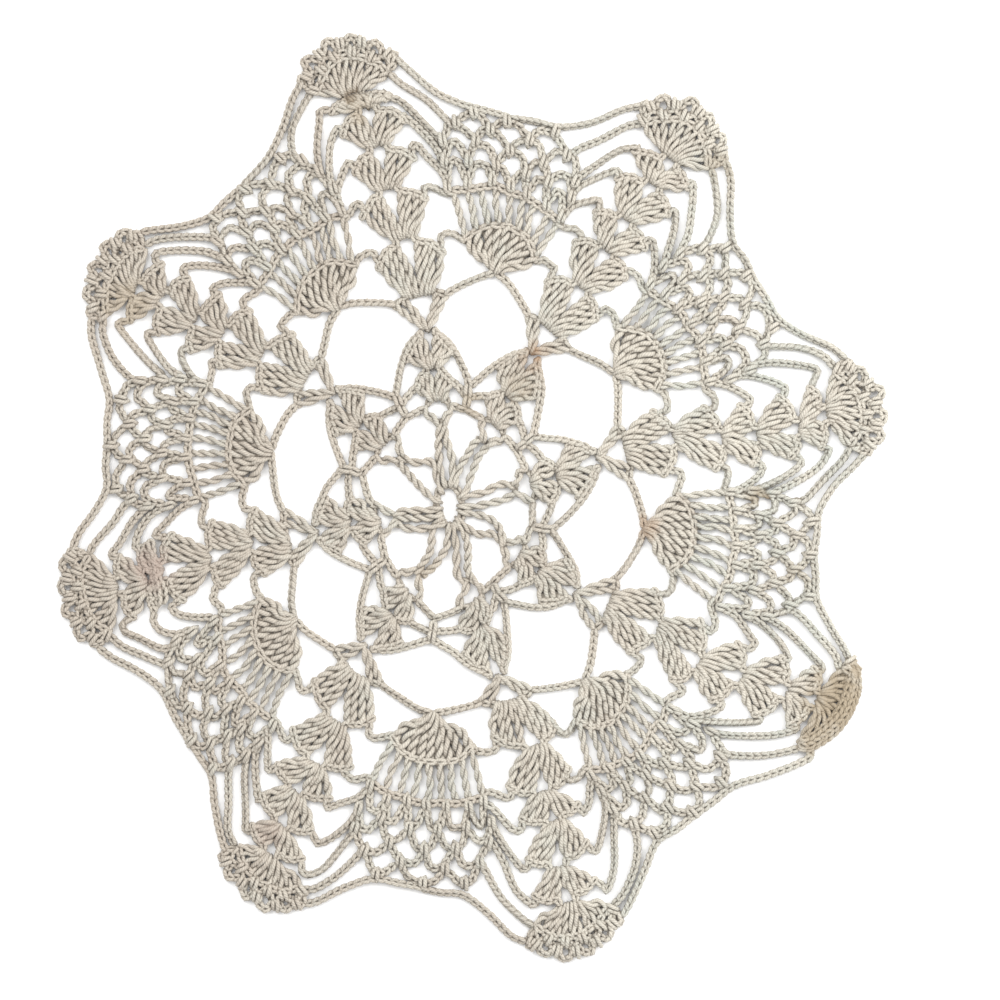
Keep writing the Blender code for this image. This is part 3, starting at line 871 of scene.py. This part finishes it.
def painted_shade_tree():
    """Mark every spot of a piece with how much the threads round it hide it, as the mask of the painted
    shade.
    """
    tree = Tree("Dust between the threads")
    tree.socket("Geometry", "INPUT", "NodeSocketGeometry")
    tree.socket("Whole mat", "INPUT", "NodeSocketObject")
    tree.socket("Reach", "INPUT", "NodeSocketFloat", 0.002)
    tree.socket("Geometry", "OUTPUT", "NodeSocketGeometry")
    inlet = tree.inlet.outputs
    mat = tree.add("GeometryNodeObjectInfo", {"Object": inlet["Whole mat"]}).outputs["Geometry"]
    outward = tree.add("GeometryNodeInputNormal").outputs["Normal"]
    spot = tree.add("GeometryNodeInputPosition").outputs["Position"]
    spot = tree.vector("ADD", spot, tree.vector("SCALE", outward, SHADE_RAY_GAP * MM))
    hidden = 0.0
    for ray in SHADE_RAYS:
        way = tree.vector("NORMALIZE", tree.vector("ADD", outward, ray))
        node = tree.add("GeometryNodeRaycast", {
            "Target Geometry": mat, "Source Position": spot, "Ray Direction": way,
            "Ray Length": inlet["Reach"]})
        hidden = tree.maths("ADD", node.outputs["Is Hit"], hidden)
    share = tree.maths("DIVIDE", hidden, float(len(SHADE_RAYS)))
    kept = tree.add(
        "GeometryNodeStoreNamedAttribute", {"Geometry": inlet["Geometry"], "Name": "dust", "Value": share},
        data_type="FLOAT", domain="POINT")
    tree.feed(tree.outlet.inputs["Geometry"], kept.outputs["Geometry"])
    return tree.tree


def grown(name, mesh, tree, **inputs):
    """The plain mesh that a node tree makes of a mesh."""
    guide = bpy.data.objects.new(name, mesh)
    bpy.context.scene.collection.objects.link(guide)
    modifier = guide.modifiers.new("Thread", "NODES")
    modifier.node_group = tree
    for item in tree.interface.items_tree:
        if item.in_out == "INPUT" and item.name in inputs:
            modifier[item.identifier] = inputs[item.name]
    bpy.context.view_layer.update()
    made = bpy.data.meshes.new_from_object(guide.evaluated_get(bpy.context.evaluated_depsgraph_get()))
    guide.modifiers.remove(modifier)
    bpy.data.objects.remove(guide, do_unlink=True)
    return made


def thread_of(work):
    """One object of thread, from the chains and posts of a piece."""
    name = work.name
    sizes = bpy.context.scene.doily_thread
    shape = stitch_shape()
    common = {
        "Thread radius": sizes.thickness / 2.0, "Sides": sizes.sides, "Material": cotton_material(name)}
    parts = []
    if work.chains:
        lines, counts, lays = zip(*work.chains)
        mesh = lines_mesh(name + " chains", lines, "lay", lays, counts)
        parts.append(grown(name, mesh, shared_tree("Chain of stitches", chain_tree), **common, **{
            "Stitch shape": shape, "Half width": sizes.chain_width / 2.0,
            "Half height": sizes.chain_height / 2.0}))
    if work.posts:
        lines, twines, cools = zip(*work.posts)
        mesh = lines_mesh(name + " posts", lines, "twine", twines, cools)
        parts.append(grown(name, mesh, shared_tree("Twined posts", post_tree), **common))
    bpy.data.objects.remove(shape, do_unlink=True)
    return joined(name, [settled(part) for part in parts])


def shared_tree(name, make):
    """The node tree of that name, made when it is first needed."""
    return bpy.data.node_groups.get(name) or make()


def joined(name, meshes):
    """One object that holds several meshes."""
    things = []
    for mesh in meshes:
        thing = bpy.data.objects.new(name, mesh)
        bpy.context.scene.collection.objects.link(thing)
        things.append(thing)
    if len(things) > 1:
        with bpy.context.temp_override(
                active_object=things[0], object=things[0], selected_objects=things,
                selected_editable_objects=things):
            bpy.ops.object.join()
    piece = things[0]
    piece.name = name
    piece.data.name = name
    return piece


def settled(mesh):
    """The mesh with no thread in or under the table's top."""
    places = np.empty(3 * len(mesh.vertices))
    mesh.vertices.foreach_get("co", places)
    places[2::3] = np.maximum(places[2::3], CLEARANCE * MM)
    mesh.vertices.foreach_set("co", places)
    mesh.update()
    return mesh


def paint_shade_on_mat():
    """Paint shade between the threads of every piece, where other threads hide them."""
    pieces = [bpy.data.objects[name] for name in PIECES]
    copies = [piece.data.copy() for piece in pieces]
    whole = joined("Whole mat", copies)
    tree = shared_tree("Dust between the threads", painted_shade_tree)
    for piece in pieces:
        piece.data = grown(piece.name, piece.data, tree, **{"Whole mat": whole})
        piece.data.name = piece.name
    bpy.data.objects.remove(whole, do_unlink=True)


def declare_pieces():
    """Attach each piece to the root, in place of the plain one, which is hidden."""
    for name, (flat, area) in PIECES.items():
        piece = bpy.data.objects[name]
        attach(piece, "root")
        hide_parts(CAD_NODE)


# The pieces of the mat.

def side_signs():
    """Both sides of every arm: -1 is its left and 1 its right, seen from the heart."""
    return [(arm, sign) for arm in range(REPEATS) for sign in (-1.0, 1.0)]


def add_link(work, name, arm, sign, slack=0.0, **kind):
    """The chain that runs from a shell to the side of the pineapple, slack millimetres outside its course."""
    course = LINKS[name]
    points = []
    for index, (radius, share) in enumerate(course):
        out = slack * math.sin(math.pi * (index + 0.5) / len(course))
        height = MIDDLE + work.dice.uniform(-0.1, 0.25)
        points.append(place(arm, radius + SLACK_OUT * out, sign * (share + SLACK_ASIDE * out), height))
    if arm == ROLLED_TIP and name in ("round 12", "border"):
        radius, across = ROLLED_CORNER
        points.insert(0, by_arm(arm, radius - ROLLED_TILT * sign * across, sign * across))
    work.chain(points, **kind)


def add_shell(work, name, arm, kind="shell"):
    """A shell: stitches that spread from one foot, in two halves with a chain between them."""
    radius, inner, outer, tops, bridge = SHELLS[name]
    for sign in (-1.0, 1.0):
        heads = []
        for index, (top_radius, top_across) in enumerate(tops):
            part = index / (len(tops) - 1)
            foot = by_arm(arm, radius, sign * between_two(inner, outer, part))
            top = work.nudged(by_arm(arm, top_radius, sign * top_across, MIDDLE + 0.1), 0.12)
            heads.append(top)
            work.wrapped_post(foot, top, kind, bow=sign * (0.75 * part - 0.40))
        row = [by_arm(arm, bridge - 0.2, sign * 1.7)] + heads + [heads[-1] * 1.5 - heads[-2] * 0.5]
        work.chain(level(row, MIDDLE + 0.25), stitches=len(tops) + 1, roll=-0.25 * sign, loose=0.0)


def heart_work():
    """Rounds 1 to 6: ring, spokes, first shells and the crossings."""
    work = Work("heart")
    ring = [ring_point(math.tau * step / RING_STEPS, 1.1, MIDDLE - 0.2) for step in range(RING_STEPS + 1)]
    work.chain(ring, stitches=RING_STITCHES, roll=0.2, loose=0.05)
    for spoke in SPOKES:
        add_spoke(work, spoke)
    for arm, sign in side_signs():
        start, end = (by_arm(arm, radius, sign * across) for radius, across in V_LEGS)
        work.wrapped_post(start, end, "leg", 0.8, bow=sign * 0.6)
        for name in ("round 3", "round 4", "round 5", "round 6"):
            add_link(work, name, arm, sign)
        for stitch in CROSSING:
            foot, top = (by_arm(arm, radius, sign * across) for radius, across in stitch)
            work.wrapped_post(foot, top, "crossing", drop=1.3)
    for arm in range(REPEATS):
        add_shell(work, "round 4", arm)
        add_shell(work, "round 5", arm)
        over_v = [by_arm(arm, *point, MIDDLE - 0.15) for point in mirrored(CHAIN_OVER_V)]
        work.chain(over_v, stitches=3)
        work.chain([by_arm(arm, *point, MIDDLE - 0.15) for point in mirrored(CHAIN_OVER_CROSSING)])
        for radius in BARS:
            spot = place(arm, radius, 1.0)
            way = (place(arm, radius + 1.0, 1.0) - spot).normalized()
            work.single_crochet(spot, way)
    return work


def ring_point(angle, outside, height):
    """A point round the oval ring at the heart, some millimetres outside its hole."""
    x = (RING_HOLE[0] + outside) * math.cos(angle)
    y = (RING_HOLE[1] + outside) * math.sin(angle)
    turn = math.radians(RING_TURN)
    across = x * math.cos(turn) - y * math.sin(turn) + RING_PLACE[0] + HEART[0]
    along = x * math.sin(turn) + y * math.cos(turn) + RING_PLACE[1] + HEART[1]
    return Vector((across, along, height))


def add_spoke(work, route):
    """One of the tall stitches that run from the ring to the arms."""
    points = [Vector((across + HEART[0], along + HEART[1], MIDDLE + 0.1)) for across, along in route]
    inward = Vector((RING_PLACE[0] + HEART[0], RING_PLACE[1] + HEART[1], MIDDLE)) - points[0]
    inward.z = 0.0
    inward.normalize()
    wrap = [points[0] - inward * 0.6, points[0] + inward * 0.45, points[0] - inward * 0.2]
    line = at_heights(wrap, (LOW, MIDDLE - 0.1, HIGH + 0.1)) + points[1:]
    work.post(line, "spoke", length_of(line) / SPOKE_TWIST)


def shells_work():
    """Rounds 7 to 10 of the arms."""
    work = Work("shells")
    for arm in range(REPEATS):
        add_shell(work, "round 7", arm, "lowest shell")
        for name in ("round 8", "round 9", "round 10"):
            add_shell(work, name, arm)
        if arm == PLEATED_ARM:
            for radius, lift in PLEAT_ROWS:
                ridge = [by_arm(arm, radius, across, MIDDLE + lift) for across in PLEAT_COURSE]
                work.chain(ridge, width=1.35, loose=0.35)
    return work


def links_work():
    """The chains between the arms and the pineapples, and the border."""
    work = Work("links")
    for arm, sign in side_signs():
        for name in ("round 7", "round 8", "round 9"):
            add_link(work, name, arm, sign, loose=0.28)
        third, second, last = LINK_SLACK[arm][0 if sign < 0.0 else 1]
        add_link(work, "round 10", arm, sign, 0.5 * third, loose=0.28)
        add_link(work, "round 11", arm, sign, third, loose=0.28)
        add_link(work, "round 12", arm, sign, second, loose=0.24)
        add_link(work, "border", arm, sign, last, loose=0.2)
    return work


def fans_work():
    """The fans of trebles and the long stitches above them."""
    work = Work("fans")
    for fan in range(REPEATS):
        ends = mirrored(LONG_TOPS)
        heads = add_fan_stitches(work, fan, ends)
        fill_fan(work, fan, heads)
        row = [heads[0] + (heads[0] - heads[1]) * 0.4] + heads + [heads[-1] + (heads[-1] - heads[-2]) * 0.4]
        work.chain(level(row, MIDDLE + 0.42), stitches=len(heads), roll=0.0, width=0.95, loose=0.0)
        top = [by_fan(fan, radius + 0.5, across, MIDDLE + 0.2) for radius, across in ends]
        work.chain(top, roll=0.0, width=1.1, loose=0.25)
    return work


def add_fan_stitches(work, fan, ends):
    """The trebles of a fan, with a long stitch from each to its end; gives the trebles' heads."""
    tops = mirrored(FAN_TOPS)
    heads = []
    for index, (radius, across) in enumerate(tops):
        part = from_middle(index, len(tops))
        foot = by_fan(fan, FAN_FOOT[0] + 0.8 * part ** 2, FAN_FOOT[1] * part)
        top = work.nudged(by_fan(fan, radius, across, MIDDLE + 0.1), 0.1)
        heads.append(top)
        work.wrapped_post(foot, top, "fan", bow=0.9 * part)
        far = work.nudged(by_fan(fan, *ends[index]), 0.15)
        start = top + (far - top).normalized() * LONG_START
        bow = work.dice.uniform(-0.35, 0.35)
        work.wrapped_post(start, far, "long stitch", bow=bow, drop=0.9, cool=0.45)
    return heads


def fill_fan(work, fan, heads):
    """The lower threads of a fan's trebles, which show between the upper ones."""
    bottom = by_fan(fan, FAN_FOOT[0] + 1.6, 0.0)
    for first, last in zip(heads, heads[1:]):
        top = (first + last) / 2.0
        line = level([bottom.lerp(top, share) for share in (0.15, 0.55, 0.93)], LOW + 0.20)
        work.post(line, "fan's lower thread", 0.0, phase=0.0)


def mesh_work():
    """The mesh of small loops beyond the long stitches."""
    work = Work("mesh")
    peaks = MESH_TOPS + (None,)
    for fan in range(REPEATS):
        for (radius, pitch, count, sag), peak in zip(MESH.values(), peaks):
            half = pitch * (count - 1) / 2.0
            spots = []
            for index in range(count):
                angle = index * pitch - half + work.dice.gauss(0.0, 0.06) * pitch
                spot_radius = radius - sag * (angle / half) ** 2 + work.dice.gauss(0.0, 0.22)
                spot = by_angle(fan, spot_radius, angle)
                way = (by_angle(fan, spot_radius + 1.0, angle) - spot).normalized()
                spots.append((spot_radius, angle))
                work.single_crochet(spot, way)
            if peak is None:
                continue
            for start, end in zip(spots, spots[1:]):
                middle = (start[1] + end[1]) / 2.0
                loop_peak = peak - sag * 0.7 * (middle / half) ** 2 + work.dice.uniform(-0.3, 0.3)
                add_mesh_loop(work, fan, start, end, loop_peak, pitch)
    return work


def add_mesh_loop(work, fan, first, last, peak, pitch):
    """A small loop of the mesh between two spots, each a radius and an angle."""
    (start_radius, start), (end_radius, end) = first, last
    lean = work.dice.uniform(-0.10, 0.10) * pitch
    loop = (
        (start_radius + 0.8, start + 0.08 * pitch),
        (between_two(start_radius, peak, 0.60), start + 0.17 * pitch + 0.5 * lean),
        (peak - 0.25, start + 0.31 * pitch + lean),
        (peak, (start + end) / 2.0 + lean),
        (peak - 0.25, end - 0.31 * pitch + lean),
        (between_two(end_radius, peak, 0.60), end - 0.17 * pitch + 0.5 * lean),
        (end_radius + 0.8, end - 0.08 * pitch))
    work.chain([by_angle(fan, *corner) for corner in loop], width=1.12, loose=0.12)


def tips_work():
    """Round 11, the wide shell at each arm's tip, and the small loops round it."""
    work = Work("tips")
    for arm in range(REPEATS):
        add_shell(work, "round 11", arm)
        peaks = add_tip_loops(work, arm, add_tip_shell(work, arm))
        if arm == ROLLED_TIP:
            add_rolled_rim(work, peaks)
            continue
        if arm == TUCKED_TIP:
            add_tuck(work, arm)
        add_knobs(work, peaks)
    return work


def add_tip_shell(work, arm):
    """The wide shell at an arm's tip; gives the heads of its stitches."""
    tops = mirrored(TIP_TOPS)
    heads = []
    for index, (radius, across) in enumerate(tops):
        part = from_middle(index, len(tops))
        foot = by_arm(arm, TIP_FEET[0], TIP_FEET[1] * part)
        if arm == ROLLED_TIP:
            across *= ROLLED_SPREAD[0] if across < 0.0 else ROLLED_SPREAD[1]
            radius -= ROLLED_TILT * across
        top = work.nudged(by_arm(arm, radius, across, MIDDLE + 0.1), 0.1)
        heads.append(top)
        work.wrapped_post(foot, top, "tip", bow=0.4 * part)
    row = level([point.copy() for point in heads], MIDDLE + 0.35)
    work.chain(row, stitches=len(tops), roll=0.0, loose=0.0)
    return heads


def add_tip_loops(work, arm, heads):
    """The first row of loops round a tip; gives each one's peak and the way outwards there."""
    ways = [(head - by_arm(arm, TIP_FEET[0] - 3.0, 0.0)).normalized() for head in heads]
    peaks = [(heads[0] + ways[0] * 0.6, ways[0])]
    for loop in range(LOOPS_AT_TIP):
        first, middle, last = heads[2 * loop:2 * loop + 3]
        way, out, end_way = ways[2 * loop:2 * loop + 3]
        peak = middle + out * (LOOP_BULGE + work.dice.uniform(-0.3, 0.3))
        points = [first + way * 0.4, first.lerp(peak, 0.6) + way * 0.5, peak,
                  last.lerp(peak, 0.6) + end_way * 0.5, last + end_way * 0.4]
        work.chain(points, stitches=4, width=1.3, loose=0.15)
        work.single_crochet(first + way * 0.8, way, reach=1.0)
        peaks.append((peak, out))
    peaks.append((heads[-1] + ways[-1] * 0.6, ways[-1]))
    return peaks


def add_knobs(work, peaks):
    """The outermost loops, between the peaks of the first row."""
    for (first, way), (last, end_way) in zip(peaks, peaks[1:]):
        rise = KNOB_BULGE - LOOP_BULGE + work.dice.uniform(-0.5, 0.4)
        middle = (first + last) / 2.0
        out = (way + end_way).normalized()
        peak = middle + out * rise + (last - first) * work.dice.uniform(-0.15, 0.15)
        side = (last - first).normalized() * 1.25
        points = [first.lerp(middle, 0.35), middle + out * rise * 0.6 - side, peak,
                  middle + out * rise * 0.6 + side, last.lerp(middle, 0.35)]
        work.chain(points, stitches=4, width=1.1, loose=0.12)
    for peak, way in peaks[1:-1]:
        work.single_crochet(peak + way * 0.5, way, reach=1.0)


def add_tuck(work, arm):
    """The short wraps over the tuck below a tip."""
    radius, first, step = TUCK
    for index in range(TUCK_WRAPS):
        across = first + step * index
        spot = by_arm(arm, radius, across)
        way = (by_arm(arm, radius + 1.0, across) - spot).normalized()
        work.wrapped_post(spot, spot + way * 1.6, "tuck", 0.1, drop=1.2)


def add_rolled_rim(work, peaks):
    """The edge of the tip that has rolled over on top of the work."""
    for out, height, width in ROLLED_RIM:
        points = level([peak + way * out for peak, way in peaks], height)
        work.chain(points, width=width, loose=0.3)


# Finish of the cotton.

def ply_group():
    """Twist of the thread's three plies, as a height, which also masks the painted shade in their grooves."""
    tree = Tree("Ply twist", "ShaderNodeTree")
    tree.socket("Plies", "INPUT", "NodeSocketFloat", 3.0)
    tree.socket("Lay", "INPUT", "NodeSocketFloat", 1.8)
    tree.socket("Height", "OUTPUT", "NodeSocketFloat")
    thread = tree.split(tree.marked("thread").outputs["Vector"])
    angle = tree.maths("ARCTAN2", thread[1], thread[0])
    around = tree.maths("MULTIPLY", angle, tree.inlet.outputs["Plies"])
    along = tree.maths("DIVIDE", tree.maths("MULTIPLY", thread[2], math.tau), tree.inlet.outputs["Lay"])
    along = tree.maths("MULTIPLY", along, tree.inlet.outputs["Plies"])
    wave = tree.maths("COSINE", tree.maths("ADD", around, along))
    tree.feed(tree.outlet.inputs["Height"], tree.maths("MULTIPLY_ADD", wave, 0.5, 0.5))
    return tree.tree


def noise(tree, spot, scale, detail):
    """Soft unevenness, from 0 to 1."""
    return tree.add("ShaderNodeTexNoise", {"Vector": spot, "Scale": scale, "Detail": detail}).outputs["Fac"]


def read_off(tree, value, given, wanted, **settings):
    """The value, moved from one range to another and kept inside it."""
    return tree.add("ShaderNodeMapRange", {
        "Value": value, "From Min": given[0], "From Max": given[1], "To Min": wanted[0], "To Max": wanted[1]},
        **settings).outputs["Result"]


def mixed_colour(tree, factor, first, second):
    """A mix of two colours, each an output or three numbers."""
    node = tree.add("ShaderNodeMix", data_type="RGBA")
    tree.feed(node.inputs[0], factor)
    for index, value in ((6, first), (7, second)):
        if not isinstance(value, bpy.types.NodeSocket):
            value = tuple(value) + (1.0,)
        tree.feed(node.inputs[index], value)
    return node.outputs[2]


def stains_group():
    """Old stains on the mat, over the cotton's own colour."""
    tree = Tree("Stains", "ShaderNodeTree")
    tree.socket("Cotton", "INPUT", "NodeSocketColor")
    tree.socket("Colour", "OUTPUT", "NodeSocketColor")
    colours = bpy.context.scene.doily_colours
    spot = tree.add("ShaderNodeTexCoord").outputs["Object"]
    uneven = tree.maths("MULTIPLY", noise(tree, spot, *STAIN_NOISE), STAIN_RAGGED)
    colour = tree.inlet.outputs["Cotton"]
    for across, along, radius, strength, kind in STAINS.values():
        centre = ((across + HEART[0]) * MM, (along + HEART[1]) * MM, MIDDLE * MM)
        far = tree.add("ShaderNodeVectorMath", {0: spot, 1: centre}, operation="DISTANCE").outputs["Value"]
        rough = tree.maths("ADD", tree.maths("DIVIDE", far, radius * MM), uneven)
        fade = read_off(tree, rough, STAIN_EDGE, (strength, 0.0), interpolation_type="SMOOTHSTEP")
        colour = mixed_colour(tree, fade, colour, getattr(colours, kind))
    tree.feed(tree.outlet.inputs["Colour"], colour)
    return tree.tree


def cotton_group():
    """Unbleached cotton: uneven tone, dull patches, painted light that makes it lighter towards +X, and
    painted shade in the ply grooves and between the threads.
    """
    tree = Tree("Cotton", "ShaderNodeTree")
    tree.socket("Coolness", "INPUT", "NodeSocketFloat", 0.5)
    tree.socket("Dullness", "INPUT", "NodeSocketFloat", 0.5)
    tree.socket("Colour", "OUTPUT", "NodeSocketColor")
    tree.socket("Rough", "OUTPUT", "NodeSocketFloat")
    colours = bpy.context.scene.doily_colours
    inlet = tree.inlet.outputs
    spot = tree.add("ShaderNodeTexCoord").outputs["Object"]
    wide, patch, fine, grain = (noise(tree, spot, *kind) for kind in COTTON_NOISES.values())
    own_tone, _, greyed = tree.split(tree.marked("stitch").outputs["Vector"])
    patches = tree.maths("MULTIPLY_ADD", patch, COOL_PATCHES, -COOL_PATCHES / 2.0)
    cool = tree.maths("ADD", tree.maths("ADD", inlet["Coolness"], patches), greyed)
    cool = tree.maths("MINIMUM", tree.maths("MAXIMUM", cool, 0.0), 1.0)
    cotton = mixed_colour(tree, cool, colours.light, colours.cool)
    tone = tree.maths("MULTIPLY", wide, DULLING["wide"])
    # The last of these is painted light: the cotton is lighter towards +X.
    for value, share in (
            (own_tone, DULLING["stitch"]), (tree.maths("SUBTRACT", grain, 0.5), DULLING["grain"]),
            (fine, DULLING["fine"]), (tree.split(spot)[0], -PAINTED_LIGHT_FALLOFF)):
        tone = tree.maths("ADD", tone, tree.maths("MULTIPLY", value, share))
    tone = tree.maths("ADD", tone, tree.maths("MULTIPLY_ADD", greyed, DULLING["greyed"], inlet["Dullness"]))
    cotton = mixed_colour(tree, read_off(tree, tone, DULL_RANGE, (0.0, 1.0)), cotton, colours.dark)
    ply = tree.add("ShaderNodeGroup", node_tree=shared_tree("Ply twist", ply_group)).outputs["Height"]
    # Painted shade: the crevice colour in the grooves between the plies.
    groove = read_off(tree, ply, (0.0, GROOVE_DEPTH), (GROOVE_SHADE, 0.0))
    # Painted shade: the crevice colour where other threads hide a spot.
    hidden = tree.marked("dust").outputs["Fac"]
    deep = read_off(tree, hidden, SHADE_RANGE, (0.0, PAINTED_SHADE))
    cotton = mixed_colour(tree, tree.maths("MAXIMUM", groove, deep), cotton, colours.crevice_shade)
    tree.feed(tree.outlet.inputs["Colour"], cotton)
    tree.feed(tree.outlet.inputs["Rough"], tree.maths("MULTIPLY_ADD", fine, 0.2, 0.68))
    return tree.tree


def cotton_material(piece):
    """A piece's cotton, cooler in loose chains and duller where it is packed close."""
    coolness, dullness = COTTON[piece][1:]
    material = bpy.data.materials.new("cotton_" + piece)
    material.use_nodes = True
    nodes = material.node_tree.nodes
    links = material.node_tree.links
    surface = nodes["Principled BSDF"]
    placed = {}
    for name, make in (("Cotton", cotton_group), ("Stains", stains_group), ("Ply twist", ply_group)):
        placed[name] = nodes.new("ShaderNodeGroup")
        placed[name].node_tree = shared_tree(name, make)
    placed["Cotton"].inputs["Coolness"].default_value = coolness
    placed["Cotton"].inputs["Dullness"].default_value = dullness
    bump = nodes.new("ShaderNodeBump")
    bump.inputs["Strength"].default_value = 0.8
    bump.inputs["Distance"].default_value = PLY_BUMP * MM
    links.new(placed["Cotton"].outputs["Colour"], placed["Stains"].inputs["Cotton"])
    links.new(placed["Stains"].outputs["Colour"], surface.inputs["Base Color"])
    links.new(placed["Cotton"].outputs["Rough"], surface.inputs["Roughness"])
    links.new(placed["Ply twist"].outputs["Height"], bump.inputs["Height"])
    links.new(bump.outputs["Normal"], surface.inputs["Normal"])
    surface.inputs["Sheen Weight"].default_value = 0.15
    surface.inputs["Sheen Roughness"].default_value = 0.5
    surface.inputs["Specular IOR Level"].default_value = 0.3
    return material


# Operators.

class DOILY_OT_heart(bpy.types.Operator):
    """Make the ring, the spokes, the first shells and the crossings"""

    bl_idname = "doily.heart"
    bl_label = "Heart"

    def execute(self, context):
        thread_of(heart_work())
        return {"FINISHED"}


class DOILY_OT_shells(bpy.types.Operator):
    """Make the columns of shells"""

    bl_idname = "doily.shells"
    bl_label = "Shells"

    def execute(self, context):
        thread_of(shells_work())
        return {"FINISHED"}


class DOILY_OT_links(bpy.types.Operator):
    """Make the chains that join the shells to the pineapples"""

    bl_idname = "doily.links"
    bl_label = "Linking chains"

    def execute(self, context):
        thread_of(links_work())
        return {"FINISHED"}


class DOILY_OT_fans(bpy.types.Operator):
    """Make the fans and the long stitches"""

    bl_idname = "doily.fans"
    bl_label = "Fans"

    def execute(self, context):
        thread_of(fans_work())
        return {"FINISHED"}


class DOILY_OT_mesh(bpy.types.Operator):
    """Make the mesh of small loops"""

    bl_idname = "doily.mesh"
    bl_label = "Mesh"

    def execute(self, context):
        thread_of(mesh_work())
        return {"FINISHED"}


class DOILY_OT_tips(bpy.types.Operator):
    """Make the tips of the arms"""

    bl_idname = "doily.tips"
    bl_label = "Tips"

    def execute(self, context):
        thread_of(tips_work())
        return {"FINISHED"}


class DOILY_OT_settle(bpy.types.Operator):
    """Paint shade between the threads, and put the pieces in place of the plain part"""

    bl_idname = "doily.settle"
    bl_label = "Settle"

    def execute(self, context):
        paint_shade_on_mat()
        declare_pieces()
        return {"FINISHED"}


class DOILY_OT_stage(bpy.types.Operator):
    """Make the table, the lights and the camera"""

    bl_idname = "doily.stage"
    bl_label = "Stage"

    def execute(self, context):
        make_table(context)
        make_room(context)
        for name, (spot, size, power) in LIGHTS.items():
            make_light(context, name, spot, size, power)
        make_camera(context)
        return {"FINISHED"}


def make_room(context):
    """Even pale light from all round."""
    world = bpy.data.worlds.new("Room")
    world.use_nodes = True
    room = world.node_tree.nodes["Background"]
    room.inputs["Color"].default_value = (1.0, 1.0, 1.0, 1.0)
    room.inputs["Strength"].default_value = ROOM_LIGHT
    context.scene.world = world
    context.scene.view_settings.view_transform = "Standard"


def make_table(context):
    """A plain pale table."""
    colour = tuple(context.scene.doily_stage.table) + (1.0,)
    mesh = bpy.data.meshes.new("Table")
    corners = [(x * TABLE_HALF, y * TABLE_HALF, 0.0) for x, y in ((-1, -1), (1, -1), (1, 1), (-1, 1))]
    mesh.from_pydata(corners, [], [(0, 1, 2, 3)])
    table = bpy.data.objects.new("Table", mesh)
    material = bpy.data.materials.new("table")
    material.use_nodes = True
    surface = material.node_tree.nodes["Principled BSDF"]
    surface.inputs["Base Color"].default_value = colour
    surface.inputs["Roughness"].default_value = 0.9
    mesh.materials.append(material)
    context.scene.collection.objects.link(table)


def make_light(context, name, spot, size, power):
    """A soft square light that faces the mat."""
    light = bpy.data.lights.new(name, "AREA")
    light.shape = "SQUARE"
    light.size = size
    light.energy = power
    lamp = bpy.data.objects.new(name, light)
    lamp.location = spot
    lamp.rotation_euler = (-Vector(spot)).to_track_quat("-Z", "Y").to_euler()
    context.scene.collection.objects.link(lamp)


def make_camera(context):
    """A long lens straight above the mat."""
    stage = context.scene.doily_stage
    camera = bpy.data.cameras.new("Camera")
    camera.lens = stage.lens
    distance = stage.view_width * stage.lens / camera.sensor_width
    holder = bpy.data.objects.new("Camera", camera)
    holder.location = (*VIEW_CENTRE, distance)
    camera.clip_start = 0.01
    context.scene.collection.objects.link(holder)
    context.scene.camera = holder


class DOILY_PT_panel(bpy.types.Panel):
    """Lists the pieces of the doily"""

    bl_label = "Lace doily"
    bl_idname = "DOILY_PT_panel"
    bl_space_type = "VIEW_3D"
    bl_region_type = "UI"
    bl_category = "Doily"

    def draw(self, context):
        layout = self.layout
        for group in (context.scene.doily_thread, context.scene.doily_colours, context.scene.doily_stage):
            box = layout.box()
            for name in group.bl_rna.properties.keys():
                if name not in ("rna_type", "name"):
                    box.prop(group, name)
        for operator in OPERATORS:
            layout.operator(operator.bl_idname)


GROUPS = (
    ("doily_thread", DoilyThread),
    ("doily_colours", DoilyColours),
    ("doily_stage", DoilyStage),
)
OPERATORS = (
    DOILY_OT_heart,
    DOILY_OT_shells,
    DOILY_OT_links,
    DOILY_OT_fans,
    DOILY_OT_mesh,
    DOILY_OT_tips,
    DOILY_OT_settle,
    DOILY_OT_stage,
)


def register():
    for name, group in GROUPS:
        bpy.utils.register_class(group)
        setattr(bpy.types.Scene, name, bpy.props.PointerProperty(type=group))
    for operator in OPERATORS:
        bpy.utils.register_class(operator)
    bpy.utils.register_class(DOILY_PT_panel)


def unregister():
    bpy.utils.unregister_class(DOILY_PT_panel)
    for operator in reversed(OPERATORS):
        bpy.utils.unregister_class(operator)
    for name, group in reversed(GROUPS):
        delattr(bpy.types.Scene, name)
        bpy.utils.unregister_class(group)


def main():
    register()
    bpy.ops.doily.heart()
    bpy.ops.doily.shells()
    bpy.ops.doily.links()
    bpy.ops.doily.fans()
    bpy.ops.doily.mesh()
    bpy.ops.doily.tips()
    bpy.ops.doily.settle()
    bpy.ops.doily.stage()


if __name__ == "__main__":
    main()
